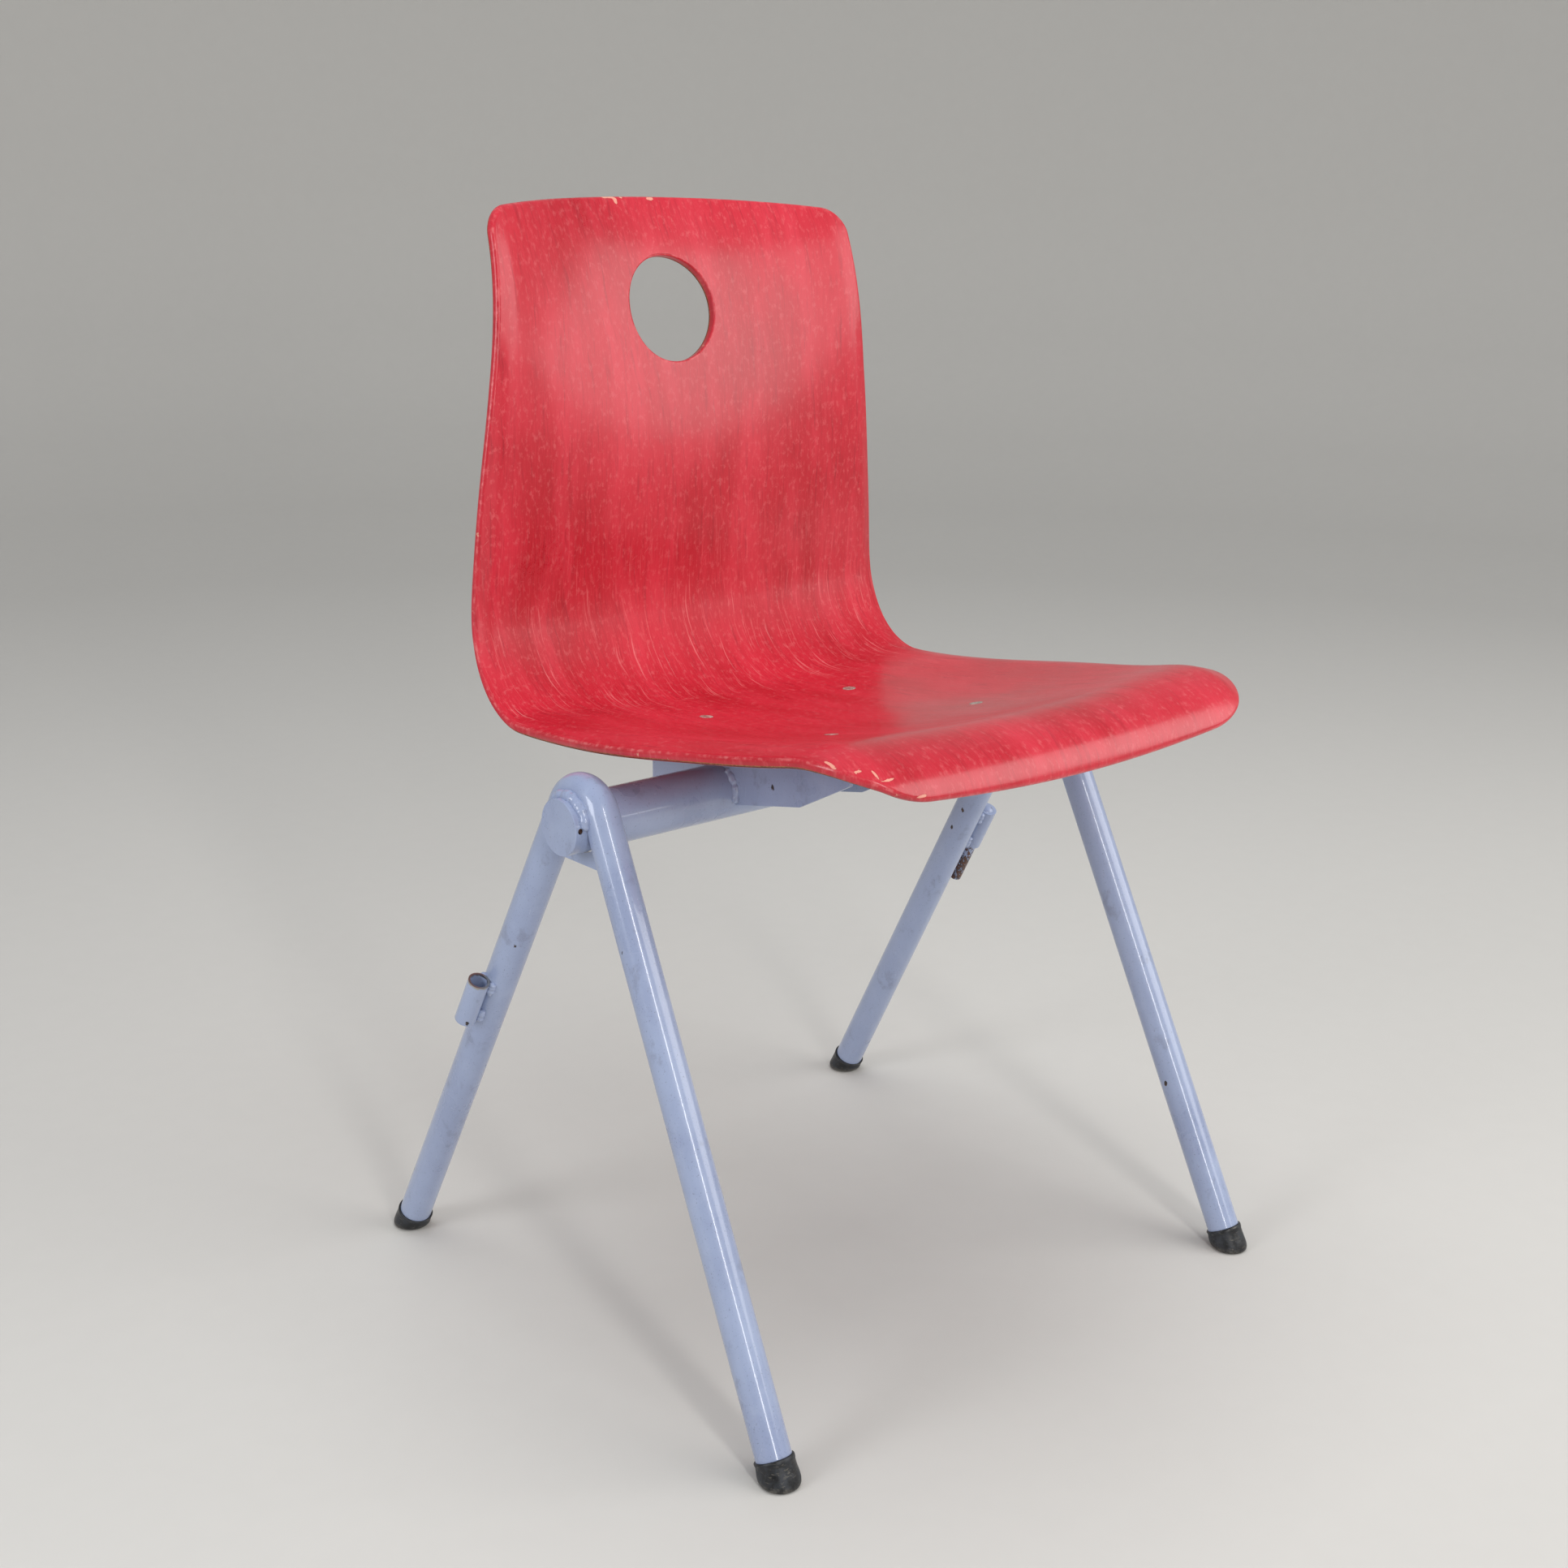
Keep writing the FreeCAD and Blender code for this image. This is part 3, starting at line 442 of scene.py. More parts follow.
def veneer():
    """Red-stained veneer under worn lacquer; the grain runs along the shell from the front lip to the top."""
    look = Look("lacquered_veneer")
    place = look.attribute("shell").outputs["Vector"]
    edge = look.attribute("edge").outputs["Fac"]
    across, along, depth = look.split(place)
    drift = look.noise(look.stretched(place, (7, 5, 0)), detail=3.0)
    ripple = look.noise(look.stretched(place, (40, 26, 0), (5, 1, 0)), detail=2.0)
    wavy = look.math("MULTIPLY_ADD", look.math("SUBTRACT", drift, 0.5), 0.036, across)
    wavy = look.math("MULTIPLY_ADD", look.math("SUBTRACT", ripple, 0.5), 0.0035, wavy)
    grain = look.combine(wavy, along)
    fibres = look.noise(look.stretched(grain, (1300, 60, 1)), detail=3.0, rough=0.65)
    streaks = look.noise(look.stretched(grain, (230, 20, 1), (7, 3, 0)), detail=5.0, rough=0.62)
    figure = look.noise(look.stretched(grain, (38, 7, 1), (1, 9, 0)), detail=3.0, rough=0.55)
    clouds = look.noise(look.stretched(place, (11, 7, 1), (4, 0, 0)), detail=3.0)
    mottle = look.noise(look.stretched(place, (260, 150, 1)), detail=3.0, rough=0.7)

    # Bend between seat and back, where the veneer's fibres have opened into pale and dark lines
    bend = look.math("MULTIPLY", look.ramp(along, 0.340, 0.395), look.ramp(along, 0.580, 0.440))
    lines = look.noise(look.stretched(grain, (430, 12, 1), (13, 5, 0)), detail=5.0, rough=0.7)
    pale_lines = look.math("MULTIPLY", look.ramp(lines, 0.56, 0.66), bend)
    dark_lines = look.math("MULTIPLY", look.ramp(lines, 0.42, 0.33), look.ramp(along, 0.340, 0.480, 0.25, 0.8))

    colour = look.mix(look.ramp(clouds, 0.3, 0.7), STAIN_DEEP, STAIN)
    colour = look.mix(look.ramp(figure, 0.42, 0.72, 0, 0.45), colour, STAIN_LIGHT)
    colour = look.mix(look.ramp(streaks, 0.48, 0.28, 0, 0.34), colour, STAIN_DARK)
    colour = look.mix(look.ramp(fibres, 0.48, 0.72, 0, 0.34), colour, STAIN_LIGHT)
    colour = look.mix(look.ramp(fibres, 0.44, 0.28, 0, 0.22), colour, STAIN_DARK)
    colour = look.mix(look.math("MULTIPLY", dark_lines, 0.42), colour, STAIN_DARK)
    colour = look.mix(look.math("MULTIPLY", pale_lines, 0.50), colour, STAIN_PALE)
    colour = look.mix(look.ramp(mottle, 0.50, 0.72, 0, 0.24), colour, STAIN_PALE)

    # Rubbing: a pale broken line along the rounded edges, chips near them, and stray scratches
    ragged = look.noise(look.stretched(place, (170, 170, 170)), detail=4.0, rough=0.65)
    on_rounding = look.math("MULTIPLY", look.ramp(edge, 0.0024, 0.0010), look.ramp(edge, 0.0002, 0.0008))
    rubbed = look.math("MULTIPLY", on_rounding, look.ramp(ragged, 0.46, 0.66))
    chip_noise = look.noise(look.stretched(place, (90, 90, 90), (2, 8, 1)), detail=5.0, rough=0.7)
    chip_zone = look.ramp(edge, 0.004, 0.0005, 0.0, 0.10)
    chips = look.ramp(look.math("ADD", chip_noise, chip_zone), 0.755, 0.77)
    scratch_a = look.noise(look.stretched(place, (60, 900, 1), (3, 1, 0)), detail=2.0, distort=0.6)
    diagonal = look.combine(look.math("ADD", across, along), look.math("SUBTRACT", across, along))
    scratch_b = look.noise(look.stretched(diagonal, (38, 1100, 1)), detail=1.0, distort=0.4)
    patchy = look.noise(look.stretched(place, (7, 9, 1), (8, 8, 0)), detail=1.0)
    either = look.math("MAXIMUM", look.ramp(scratch_a, 0.735, 0.76), look.ramp(scratch_b, 0.745, 0.77))
    scratches = look.math("MULTIPLY", either, look.ramp(patchy, 0.50, 0.62))
    worn = look.attribute("worn").outputs["Fac"]
    raggedness = look.math("MULTIPLY", look.math("SUBTRACT", ragged, 0.5), 1.1)
    worn_mask = look.ramp(look.math("ADD", worn, raggedness), 0.48, 0.58)
    colour = look.mix(look.math("MULTIPLY", rubbed, 0.45), colour, STAIN_PALE)
    colour = look.mix(look.math("MULTIPLY", scratches, 0.35), colour, STAIN_PALE)
    bare = look.math("MAXIMUM", look.math("MULTIPLY", chips, 0.9), worn_mask)
    colour = look.mix(bare, colour, BARE_WOOD)

    # Cut edge of the plies
    ragged_depth = look.math("MULTIPLY_ADD", look.math("SUBTRACT", ragged, 0.5), 0.0012, depth)
    wall = look.math("MULTIPLY", look.ramp(ragged_depth, 0.0050, 0.0055),
                     look.ramp(ragged_depth, 0.0073, 0.0068))
    ply = look.math("PINGPONG", look.math("ADD", ragged_depth, 0.0002), 0.00115)
    plies = look.mix(look.ramp(ply, 0.0003, 0.0008), PLY_DARK, PLY_LIGHT)
    end_grain = look.noise(look.stretched(place, (700, 700, 300)), detail=3.0, rough=0.7)
    plies = look.mix(look.ramp(end_grain, 0.40, 0.62, 0, 0.6), plies, PLY_DARK)
    plies = look.mix(look.ramp(clouds, 0.45, 0.60, 0, 0.45), plies, STAIN_DEEP)
    colour = look.mix(wall, colour, plies)

    # Underside: the same stain, thinner and duller
    under = look.ramp(depth, 0.0066, 0.0074)
    colour = look.mix(look.math("MULTIPLY", under, 0.45), colour, UNDERSIDE)

    # The lacquer has gone dull where the fibres have opened
    dull = look.math("MULTIPLY", look.ramp(along, 0.330, 0.390), look.ramp(along, 0.520, 0.450))
    rough = look.ramp(clouds, 0.3, 0.7, 0.27, 0.40)
    rough = look.math("ADD", rough, look.math("MULTIPLY", dull, 0.28))
    rough = look.math("ADD", rough, look.math("MULTIPLY", look.math("MAXIMUM", bare, wall), 0.35))
    rough = look.math("ADD", rough, look.math("MULTIPLY", look.math("MAXIMUM", scratches, under), 0.16))
    rough = look.math("ADD", rough, look.ramp(mottle, 0.4, 0.7, 0, 0.06))
    dents = look.noise(look.stretched(place, (24, 14, 1)), detail=2.0)
    normal = look.bump(dents, 0.0007, 0.5)
    normal = look.bump(look.math("ADD", fibres, look.math("MULTIPLY", streaks, 1.5)), 0.00006, 0.6, normal)
    gouged = look.math("ADD", bare, look.math("MULTIPLY", scratches, 0.4))
    normal = look.bump(look.math("SUBTRACT", 1.0, gouged), 0.00035, 0.8, normal)
    normal = look.bump(look.math("MULTIPLY", look.math("MULTIPLY", ply, wall), 300.0), 0.00025, 0.6, normal)
    gloss = look.math("SUBTRACT", 0.34, look.math("MULTIPLY", look.math("MAXIMUM", bare, wall), 0.30))
    gloss = look.math("MULTIPLY", gloss, look.math("SUBTRACT", 1.0, look.math("MULTIPLY", dull, 0.9)))
    return look.finish(Base_Color=colour, Roughness=rough, Normal=normal, Coat_Weight=gloss,
                       Coat_Roughness=0.17, IOR=1.42)


STAIN = srgb(198, 30, 50)
STAIN_DEEP = srgb(176, 16, 34)
STAIN_DARK = srgb(122, 6, 22)
STAIN_LIGHT = srgb(216, 54, 72)
STAIN_PALE = srgb(228, 130, 130)
BARE_WOOD = srgb(222, 150, 132)
PLY_LIGHT = srgb(170, 104, 66)
PLY_DARK = srgb(78, 34, 24)
UNDERSIDE = srgb(150, 26, 36)
ENAMEL = srgb(154, 167, 198)
ENAMEL_DULL = srgb(144, 156, 188)
ENAMEL_PALE = srgb(172, 184, 210)
GRIME = srgb(72, 66, 70)
CHIP_DARK = srgb(38, 30, 28)
RUST = srgb(96, 58, 40)
STEEL = srgb(176, 172, 166)
STEEL_DARK = srgb(92, 86, 82)
STEEL_RUBBED = srgb(214, 206, 196)
STEEL_HANDLED = srgb(150, 138, 128)
RUBBER = srgb(15, 17, 21)
RUBBER_PALE = srgb(38, 42, 49)
DUST = srgb(122, 116, 106)


def enamel(name="frame_enamel", chipped=1.0, worn=None, bare_from=None):
    """Thick glossy stove enamel on steel: orange peel, rubbed grime, small dark chips and fine scratches."""
    look = Look(name)
    place = look.place()
    clouds = look.noise(look.stretched(place, (16, 16, 16)), detail=3.0)
    patches = look.noise(look.stretched(place, (60, 60, 42), (3, 1, 4)), detail=4.0, rough=0.6)
    specks = look.noise(look.stretched(place, (900, 900, 700)), detail=2.0, rough=0.6)
    colour = look.mix(look.ramp(clouds, 0.35, 0.65), ENAMEL_DULL, ENAMEL)
    colour = look.mix(look.ramp(patches, 0.50, 0.75, 0, 0.25), colour, ENAMEL_PALE)
    colour = look.mix(look.ramp(patches, 0.42, 0.28, 0, 0.22), colour, GRIME)
    colour = look.mix(look.ramp(specks, 0.62, 0.74, 0, 0.40), colour, GRIME)

    drift = look.noise(look.stretched(place, (45, 45, 14), (5, 5, 5)), detail=2.0)
    scratch = look.noise(look.stretched(place, (520, 520, 26)), detail=2.0, distort=0.5)
    scratches = look.math("MULTIPLY", look.ramp(scratch, 0.70, 0.74), look.ramp(drift, 0.48, 0.60))
    colour = look.mix(look.math("MULTIPLY", scratches, 0.5), colour, ENAMEL_PALE)

    ragged = look.noise(look.stretched(place, (420, 420, 300)), detail=4.0, rough=0.7)
    cell = look.spots(look.stretched(place, (62, 62, 40)))
    away = look.math("MULTIPLY_ADD", look.math("SUBTRACT", ragged, 0.5), 0.22, cell)
    sparse = look.ramp(look.noise(look.stretched(place, (30, 30, 22), (9, 2, 6)), detail=2.0), 0.50, 0.62)
    size = look.math("MULTIPLY", sparse, 0.095 * chipped)
    chips = look.ramp(look.math("SUBTRACT", size, away), -0.012, 0.006)
    if worn is not None:
        rubbed = look.math("MULTIPLY_ADD", look.math("SUBTRACT", ragged, 0.5), 2.2, worn(look, place))
        chips = look.math("MAXIMUM", chips, look.ramp(rubbed, 0.35, 0.55))
    core = look.mix(look.ramp(ragged, 0.42, 0.60), CHIP_DARK, RUST)
    colour = look.mix(chips, colour, core)
    bare = 0.0
    rough = look.math("ADD", look.ramp(clouds, 0.3, 0.7, 0.24, 0.36), look.ramp(patches, 0.45, 0.7, 0, 0.08))
    rough = look.math("ADD", rough, look.math("MULTIPLY", chips, 0.45))
    if bare_from is not None:
        rubbed = look.math("MULTIPLY_ADD", look.math("SUBTRACT", ragged, 0.5), 1.6, bare_from(look, place))
        bare = look.ramp(rubbed, 0.35, 0.6)
        colour = look.mix(bare, colour, STEEL)
    normal = look.bump(look.noise(look.stretched(place, (26, 26, 20)), detail=1.0), 0.0004, 0.35)
    normal = look.bump(look.noise(look.stretched(place, (420, 420, 360)), detail=1.0), 0.00008, 0.35, normal)
    gouged = look.math("MAXIMUM", chips, look.math("MULTIPLY", scratches, 0.3))
    normal = look.bump(look.math("SUBTRACT", 1.0, gouged), 0.0003, 0.9, normal)
    return look.finish(Base_Color=colour, Roughness=rough, Normal=normal, Metallic=bare,
                       Coat_Weight=0.70, Coat_Roughness=0.06, IOR=1.5)


def rubber():
    """Hard black rubber, scuffed, with floor dust in its lower edge."""
    look = Look("foot_rubber")
    place = look.place()
    height = look.split(place)[2]
    cloud = look.noise(look.stretched(place, (120, 120, 120)), detail=4.0, rough=0.65)
    fine = look.noise(look.stretched(place, (1400, 1400, 1400)), detail=2.0)
    scuff = look.noise(look.stretched(place, (240, 240, 900), (1, 2, 3)), detail=3.0, distort=0.5)
    colour = look.mix(look.ramp(cloud, 0.42, 0.66), RUBBER, RUBBER_PALE)
    colour = look.mix(look.ramp(scuff, 0.60, 0.70, 0, 0.35), colour, DUST)
    dusty = look.math("MULTIPLY", look.ramp(height, 0.006, 0.0005), look.ramp(cloud, 0.40, 0.60, 0, 0.55))
    colour = look.mix(dusty, colour, DUST)
    rough = look.ramp(cloud, 0.35, 0.65, 0.30, 0.52)
    normal = look.bump(cloud, 0.0006, 0.5)
    normal = look.bump(fine, 0.00006, 0.5, normal)
    normal = look.bump(scuff, 0.0002, 0.4, normal)
    return look.finish(Base_Color=colour, Roughness=rough, Normal=normal, IOR=1.5)


def steel(name, light, dark, rusty, metal):
    """Bare steel, handled and tarnished."""
    look = Look(name)
    place = look.place()
    cloud = look.noise(look.stretched(place, (320, 320, 320)), detail=4.0, rough=0.65)
    fine = look.noise(look.stretched(place, (2600, 2600, 900)), detail=2.0)
    stain = look.noise(look.stretched(place, (150, 150, 150), (4, 4, 4)), detail=3.0)
    colour = look.mix(look.ramp(cloud, 0.38, 0.62), dark, light)
    colour = look.mix(look.ramp(stain, 0.50, 0.66, 0, rusty), colour, RUST)
    rough = look.ramp(cloud, 0.35, 0.65, 0.30, 0.50)
    normal = look.bump(cloud, 0.00025, 0.6)
    normal = look.bump(fine, 0.00005, 0.5, normal)
    return look.finish(Base_Color=colour, Roughness=rough, Normal=normal, Metallic=metal)


# ------------------------------------------------------------------ the leg frame's geometry
SPLAY = math.atan((FOOT_X - FRAME_X) / CROSSBAR_Z)
FLOOR = -CROSSBAR_Z / math.cos(SPLAY)


def leg_line(reach):
    """Start, direction and length of a straight leg in its frame's own plane (Y and Z from the crossbar)."""
    towards = 1 if reach > 0 else -1
    distance = math.hypot(reach, FLOOR)
    lean = math.atan2(abs(reach), -FLOOR) - math.asin(BEND_RADIUS / distance)
    start = Vector((0, towards * BEND_RADIUS * math.cos(lean), BEND_RADIUS * math.sin(lean)))
    down = Vector((0, towards * math.sin(lean), -math.cos(lean)))
    return start, down, math.sqrt(distance ** 2 - BEND_RADIUS ** 2)


def placed(point, side, direction=False):
    """A point or direction of the left leg frame's plane, in millimetres, put in its place on this side."""
    turned = Matrix.Rotation(-SPLAY, 3, "Y") @ point
    if not direction:
        turned = turned + Vector((FRAME_X, 0, CROSSBAR_Z))
    return Vector((side * turned.x, turned.y, turned.z))


# ------------------------------------------------------------------ weld beads
BEAD_RING = 14
FRAME_BEAD_RADIUS, FRAME_BEAD_PITCH, FRAME_BEAD_STEPS = 4.5, 13.0, 72
BRACKET_BEAD_RADIUS, BRACKET_BEAD_PITCH, BRACKET_BEAD_STEPS = 3.3, 8.0, 30
LINK_BEAD_RADIUS, LINK_BEAD_PITCH, LINK_BEAD_STEPS = 2.9, 3.6, 14
LINK_BEAD_LENGTH = 12.0
LINK_BEAD_SINK = 0.6             # the linking beads' middle line lies this far inside the leg's surface
LINK_BEAD_APART = 5.6            # and this far to either side of the linking tube's middle plane


def bead(path, radius, seed, ripple, pitch):
    """Closed lumpy rod along a path of (place, outward direction), as a weld is laid in overlapping drops."""
    steps = len(path)
    ring = BEAD_RING
    points, faces = [], []
    travelled = 0.0
    for i, (place, outward) in enumerate(path):
        before, after = path[max(i - 1, 0)][0], path[min(i + 1, steps - 1)][0]
        forward = (after - before).normalized()
        travelled += (place - path[max(i - 1, 0)][0]).length
        side = forward.cross(outward).normalized()
        share = i / (steps - 1)
        taper = math.sqrt(max(1 - (2 * share - 1) ** 8, 0.02))
        lumps = solid_noise.noise(place * 0.16 + Vector((0, seed, 0)))
        wave = 1 + ripple * math.sin(2 * math.pi * travelled / pitch + 3 * lumps) + ripple * lumps
        wander = side * solid_noise.noise(place * 0.12 + Vector((seed, 0, 0))) * 0.5 * radius
        for k in range(ring):
            angle = 2 * math.pi * k / ring
            lump = solid_noise.noise(place * 0.35 + outward * math.cos(angle) * 2) * 0.22
            reach = radius * taper * (wave + lump)
            around = outward * math.cos(angle) * reach + side * math.sin(angle) * reach
            points.append((place + wander + around) * MM)
    for i in range(steps - 1):
        for k in range(ring):
            a, b = i * ring + k, i * ring + (k + 1) % ring
            faces.append((a, b, b + ring, a + ring))
    faces.append(tuple(reversed(range(ring))))
    faces.append(tuple(range((steps - 1) * ring, steps * ring)))
    return points, faces


def join_beads(name, beads, node, material):
    points, faces = [], []
    for bead_points, bead_faces in beads:
        first = len(points)
        points += bead_points
        faces += [tuple(first + i for i in face) for face in bead_faces]
    made = make_object(name, points, faces)
    smoother = made.modifiers.new("smooth", "SUBSURF")
    smoother.levels = smoother.render_levels = 1
    made.data.materials.append(material)
    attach(made, "root")
    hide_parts(node)


def round_crossbar(x, from_angle, to_angle, lift, steps):
    """Path on the crossbar at this X, by angle upwards from its front."""
    path = []
    for i in range(steps):
        angle = math.radians(from_angle + (to_angle - from_angle) * i / (steps - 1))
        outward = Vector((0, -math.cos(angle), math.sin(angle)))
        path.append((Vector((x, 0, CROSSBAR_Z)) + outward * (CROSSBAR_RADIUS + lift), outward))
    return path


def beside_leg(below, turn, side, along, sideways):
    """Point in the groove between a linking tube and its leg."""
    start, down, _ = leg_line(REAR_FOOT_REACH)
    outwards = Matrix.Rotation(turn, 3, down) @ Vector((1, 0, 0))
    across = outwards.cross(down)
    place = (start + down * (below + along) + outwards * (LEG_RADIUS - LINK_BEAD_SINK)
             + across * sideways * LINK_BEAD_APART)
    out_of_groove = (outwards * 0.25 + across * sideways).normalized()
    return placed(place, side), placed(out_of_groove, side, direction=True)


def build_welds(material):
    half = math.sqrt(LEG_RADIUS ** 2 - (BEND_RADIUS - CROSSBAR_RADIUS) ** 2)
    frame_beads, bracket_beads, link_beads = [], [], []
    for number, side in enumerate((-1, 1)):
        for inner in (-1, 1):
            x = side * (FRAME_X + inner * half)
            path = round_crossbar(x, 2, 178, 0.3, FRAME_BEAD_STEPS)
            frame_beads.append(bead(path, FRAME_BEAD_RADIUS, 10 + number * 2 + inner, 0.10, FRAME_BEAD_PITCH))
        for seed, from_angle, to_angle in ((20, -12, 64), (30, 116, 190)):
            path = round_crossbar(side * BRACKET_X, from_angle, to_angle, 0.2, BRACKET_BEAD_STEPS)
            bracket_beads.append(bead(path, BRACKET_BEAD_RADIUS, seed + number, 0.16, BRACKET_BEAD_PITCH))
    for below, turn, side, seed in ((SOCKET_BELOW, 0.0, -1, 40), (PIN_BELOW, PIN_TURN, 1, 50)):
        for sideways in (-1, 1):
            for first in (0.0, LINK_TUBE_LENGTH - LINK_BEAD_LENGTH):
                steps = [first + LINK_BEAD_LENGTH * i / (LINK_BEAD_STEPS - 1) for i in range(LINK_BEAD_STEPS)]
                path = [beside_leg(below, turn, side, along, sideways) for along in steps]
                link_beads.append(bead(path, LINK_BEAD_RADIUS, seed + sideways + int(first), 0.15,
                                       LINK_BEAD_PITCH))
    join_beads("frame_weld_beads", frame_beads, "frame_welds", material)
    join_beads("bracket_weld_beads", bracket_beads, "bracket_welds", material)
    join_beads("linking_weld_beads", link_beads, "linking_welds", material)


# ------------------------------------------------------------------ seat bolts
# Height above the seat and radius, from the head's flat crown down the shank to its tip
BOLT_OUTLINE = [(0.29, 3.0), (0.22, 4.4), (0.08, 5.2), (-0.25, 5.3), (-2.3, 3.1), (-21.0, 3.0), (-21.9, 2.4)]
BOLT_RING = 40


def build_bolts(material):
    """Countersunk bolts with slightly domed, worn heads a hair proud of the seat."""
    ring = BOLT_RING
    points, faces = [], []
    for y in (REAR_BOLT_Y, FRONT_BOLT_Y):
        tries = np.linspace(0.1 * PROFILE_LENGTH, 0.5 * PROFILE_LENGTH, SEARCH_STEPS)
        along = tries[int(np.argmin(np.abs(profile(tries)[0][:, 0] - y)))]
        for x in (-BOLT_X, BOLT_X):
            middle = Vector(shell_point(np.array([along]), np.array([x]), np.array([0.0]))[0])
            out = Vector(upper_normal(np.array([along]), np.array([x]))[0])
            u = out.orthogonal().normalized()
            v = out.cross(u)
            first = len(points)
            for height, radius in BOLT_OUTLINE:
                for k in range(ring):
                    angle = 2 * math.pi * k / ring
                    around = (u * math.cos(angle) + v * math.sin(angle)) * radius
                    points.append((middle + out * height + around) * MM)
            loops = len(BOLT_OUTLINE)
            for i in range(loops - 1):
                for k in range(ring):
                    a, b = first + i * ring + k, first + i * ring + (k + 1) % ring
                    faces.append((a, a + ring, b + ring, b))
            faces.append(tuple(first + k for k in range(ring)))
            faces.append(tuple(first + (loops - 1) * ring + k for k in reversed(range(ring))))
    made = make_object("seat_bolt_set", points, faces)
    made.data.materials.append(material)
    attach(made, "root")
    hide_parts("seat_bolts")


# ------------------------------------------------------------------ feet
# Share of the way from the ferrule's top to its base, and radius
FOOT_OUTLINE = [(-0.02, 12.7), (-0.03, 13.3), (0.0, 13.75), (0.05, 13.95), (0.11, 13.9), (0.15, 13.6),
                (0.20, 13.55), (0.35, 13.75), (0.50, 14.05), (0.64, 14.35), (0.76, 14.5), (0.86, 14.2),
                (0.93, 13.5), (0.975, 12.4), (1.0, 10.8), (1.0, 6.0)]
FOOT_RING = 56
FOOT_LUMPS = 0.18


def build_foot(name, reach, side, node, material, seed):
    """Moulded ferrule: a lip round the tube, a slightly waisted collar and a rounded base flat on the floor."""
    start, down, length = leg_line(reach)
    top = placed(start + down * (length - FOOT_HEIGHT), side)
    axis = placed(down, side, direction=True)
    base = placed(start + down * length, side)
    ring = FOOT_RING
    points, faces = [], []
    across, straight_down = Vector((1, 0, 0)), Vector((0, 0, -1))
    for share, radius in FOOT_OUTLINE:
        centre = top.lerp(base, share)
        tilt = axis.lerp(straight_down, max(share, 0.0) ** 0.8).normalized()
        u = (across - tilt * across.dot(tilt)).normalized()
        v = tilt.cross(u)
        for k in range(ring):
            angle = 2 * math.pi * k / ring
            lump = solid_noise.noise(Vector((math.cos(angle) * 2, math.sin(angle) * 2, share * 3 + seed)))
            reach_out = radius + FOOT_LUMPS * lump * (0.2 < share < 0.99)
            spot = centre + (u * math.cos(angle) + v * math.sin(angle)) * reach_out
            points.append(Vector((spot.x, spot.y, max(spot.z, 0.0))) * MM)
    rows = len(FOOT_OUTLINE)
    for i in range(rows - 1):
        for k in range(ring):
            a, b = i * ring + k, i * ring + (k + 1) % ring
            faces.append((a, a + ring, b + ring, b))
    faces.append(tuple(range(ring)))
    faces.append(tuple(reversed(range((rows - 1) * ring, rows * ring))))
    made = make_object(name, points, faces)
    made.data.materials.append(material)
    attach(made, "root")
    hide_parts(node)


# ------------------------------------------------------------------ build
def worn_patches():
    """Places where lacquer is knocked off: (across, along, half width, half length) in millimetres."""
    chance = random.Random(11)
    top = PROFILE_LENGTH - 1.0
    patches = [(chance.uniform(-78, 4), top - chance.uniform(0, 2),
                chance.uniform(2, 6), chance.uniform(1.5, 3.0)) for _ in range(9)]
    patches += [(-32, top - 4, 2, 7), (184, 22, 6, 1.6), (-152, 12, 7, 1.3), (-146, 17, 1.5, 4),
                (-172, 27, 6, 1.4), (-178, 33, 1.6, 5), (-186, 40, 5, 1.3), (-195, 54, 1.6, 7),
                (1, 551, 5, 0.9), (-8, 553, 2, 0.7), (179, 551, 1.6, 2.5)]
    return patches


def make_shell(material):
    mesh = build_shell()
    points, facts = np.concatenate(mesh.points), np.concatenate(mesh.facts)
    used, faces = keep_used(points, mesh.faces)
    points, facts = points[used], facts[used]
    shell = make_object("seat_shell_wood", points * MM, faces)
    place = shell.data.attributes.new("shell", "FLOAT_VECTOR", "POINT")
    place.data.foreach_set("vector", (facts[:, :3] * MM).astype(np.float32).ravel())
    edge = shell.data.attributes.new("edge", "FLOAT", "POINT")
    edge.data.foreach_set("value", (facts[:, 3] * MM).astype(np.float32))
    worn = np.zeros(len(points))
    for across, along, half_width, half_length in worn_patches():
        reach = np.hypot((facts[:, 0] - across) / half_width, (facts[:, 1] - along) / half_length)
        worn = np.maximum(worn, np.clip(1.25 - reach, 0, 1) * (facts[:, 2] < 3.0))
    attribute = shell.data.attributes.new("worn", "FLOAT", "POINT")
    attribute.data.foreach_set("value", worn.astype(np.float32))
    shell.data.materials.append(material)
    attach(shell, "root")
    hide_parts("seat_shell")


SHARP_ANGLE = math.radians(32)


def dress(names, material, bevel=0.0):
    """Gives CAD nodes their material, smooth shading and softened edges."""
    for name in names:
        node = NODES[name]
        node.data.materials.clear()
        node.data.materials.append(material)
        for polygon in node.data.polygons:
            polygon.material_index = 0
        node.data.shade_smooth()
        node.data.set_sharp_from_angle(angle=SHARP_ANGLE)
        if bevel:
            rounding = node.modifiers.new("edges", "BEVEL")
            rounding.width = bevel * MM
            rounding.segments = 2
            rounding.limit_method = "ANGLE"
            rounding.angle_limit = SHARP_ANGLE
            rounding.harden_normals = True


def down_leg(look, place, below, side):
    """Distance below the top of a linking tube, in metres, along its leg."""
    start, down, _ = leg_line(REAR_FOOT_REACH)
    top = placed(start + down * below, side) * MM
    axis = placed(down, side, direction=True)
    offset = look.node("ShaderNodeVectorMath", place, tuple(top), operation="SUBTRACT").outputs[0]
    return look.node("ShaderNodeVectorMath", offset, tuple(axis), operation="DOT_PRODUCT").outputs["Value"]


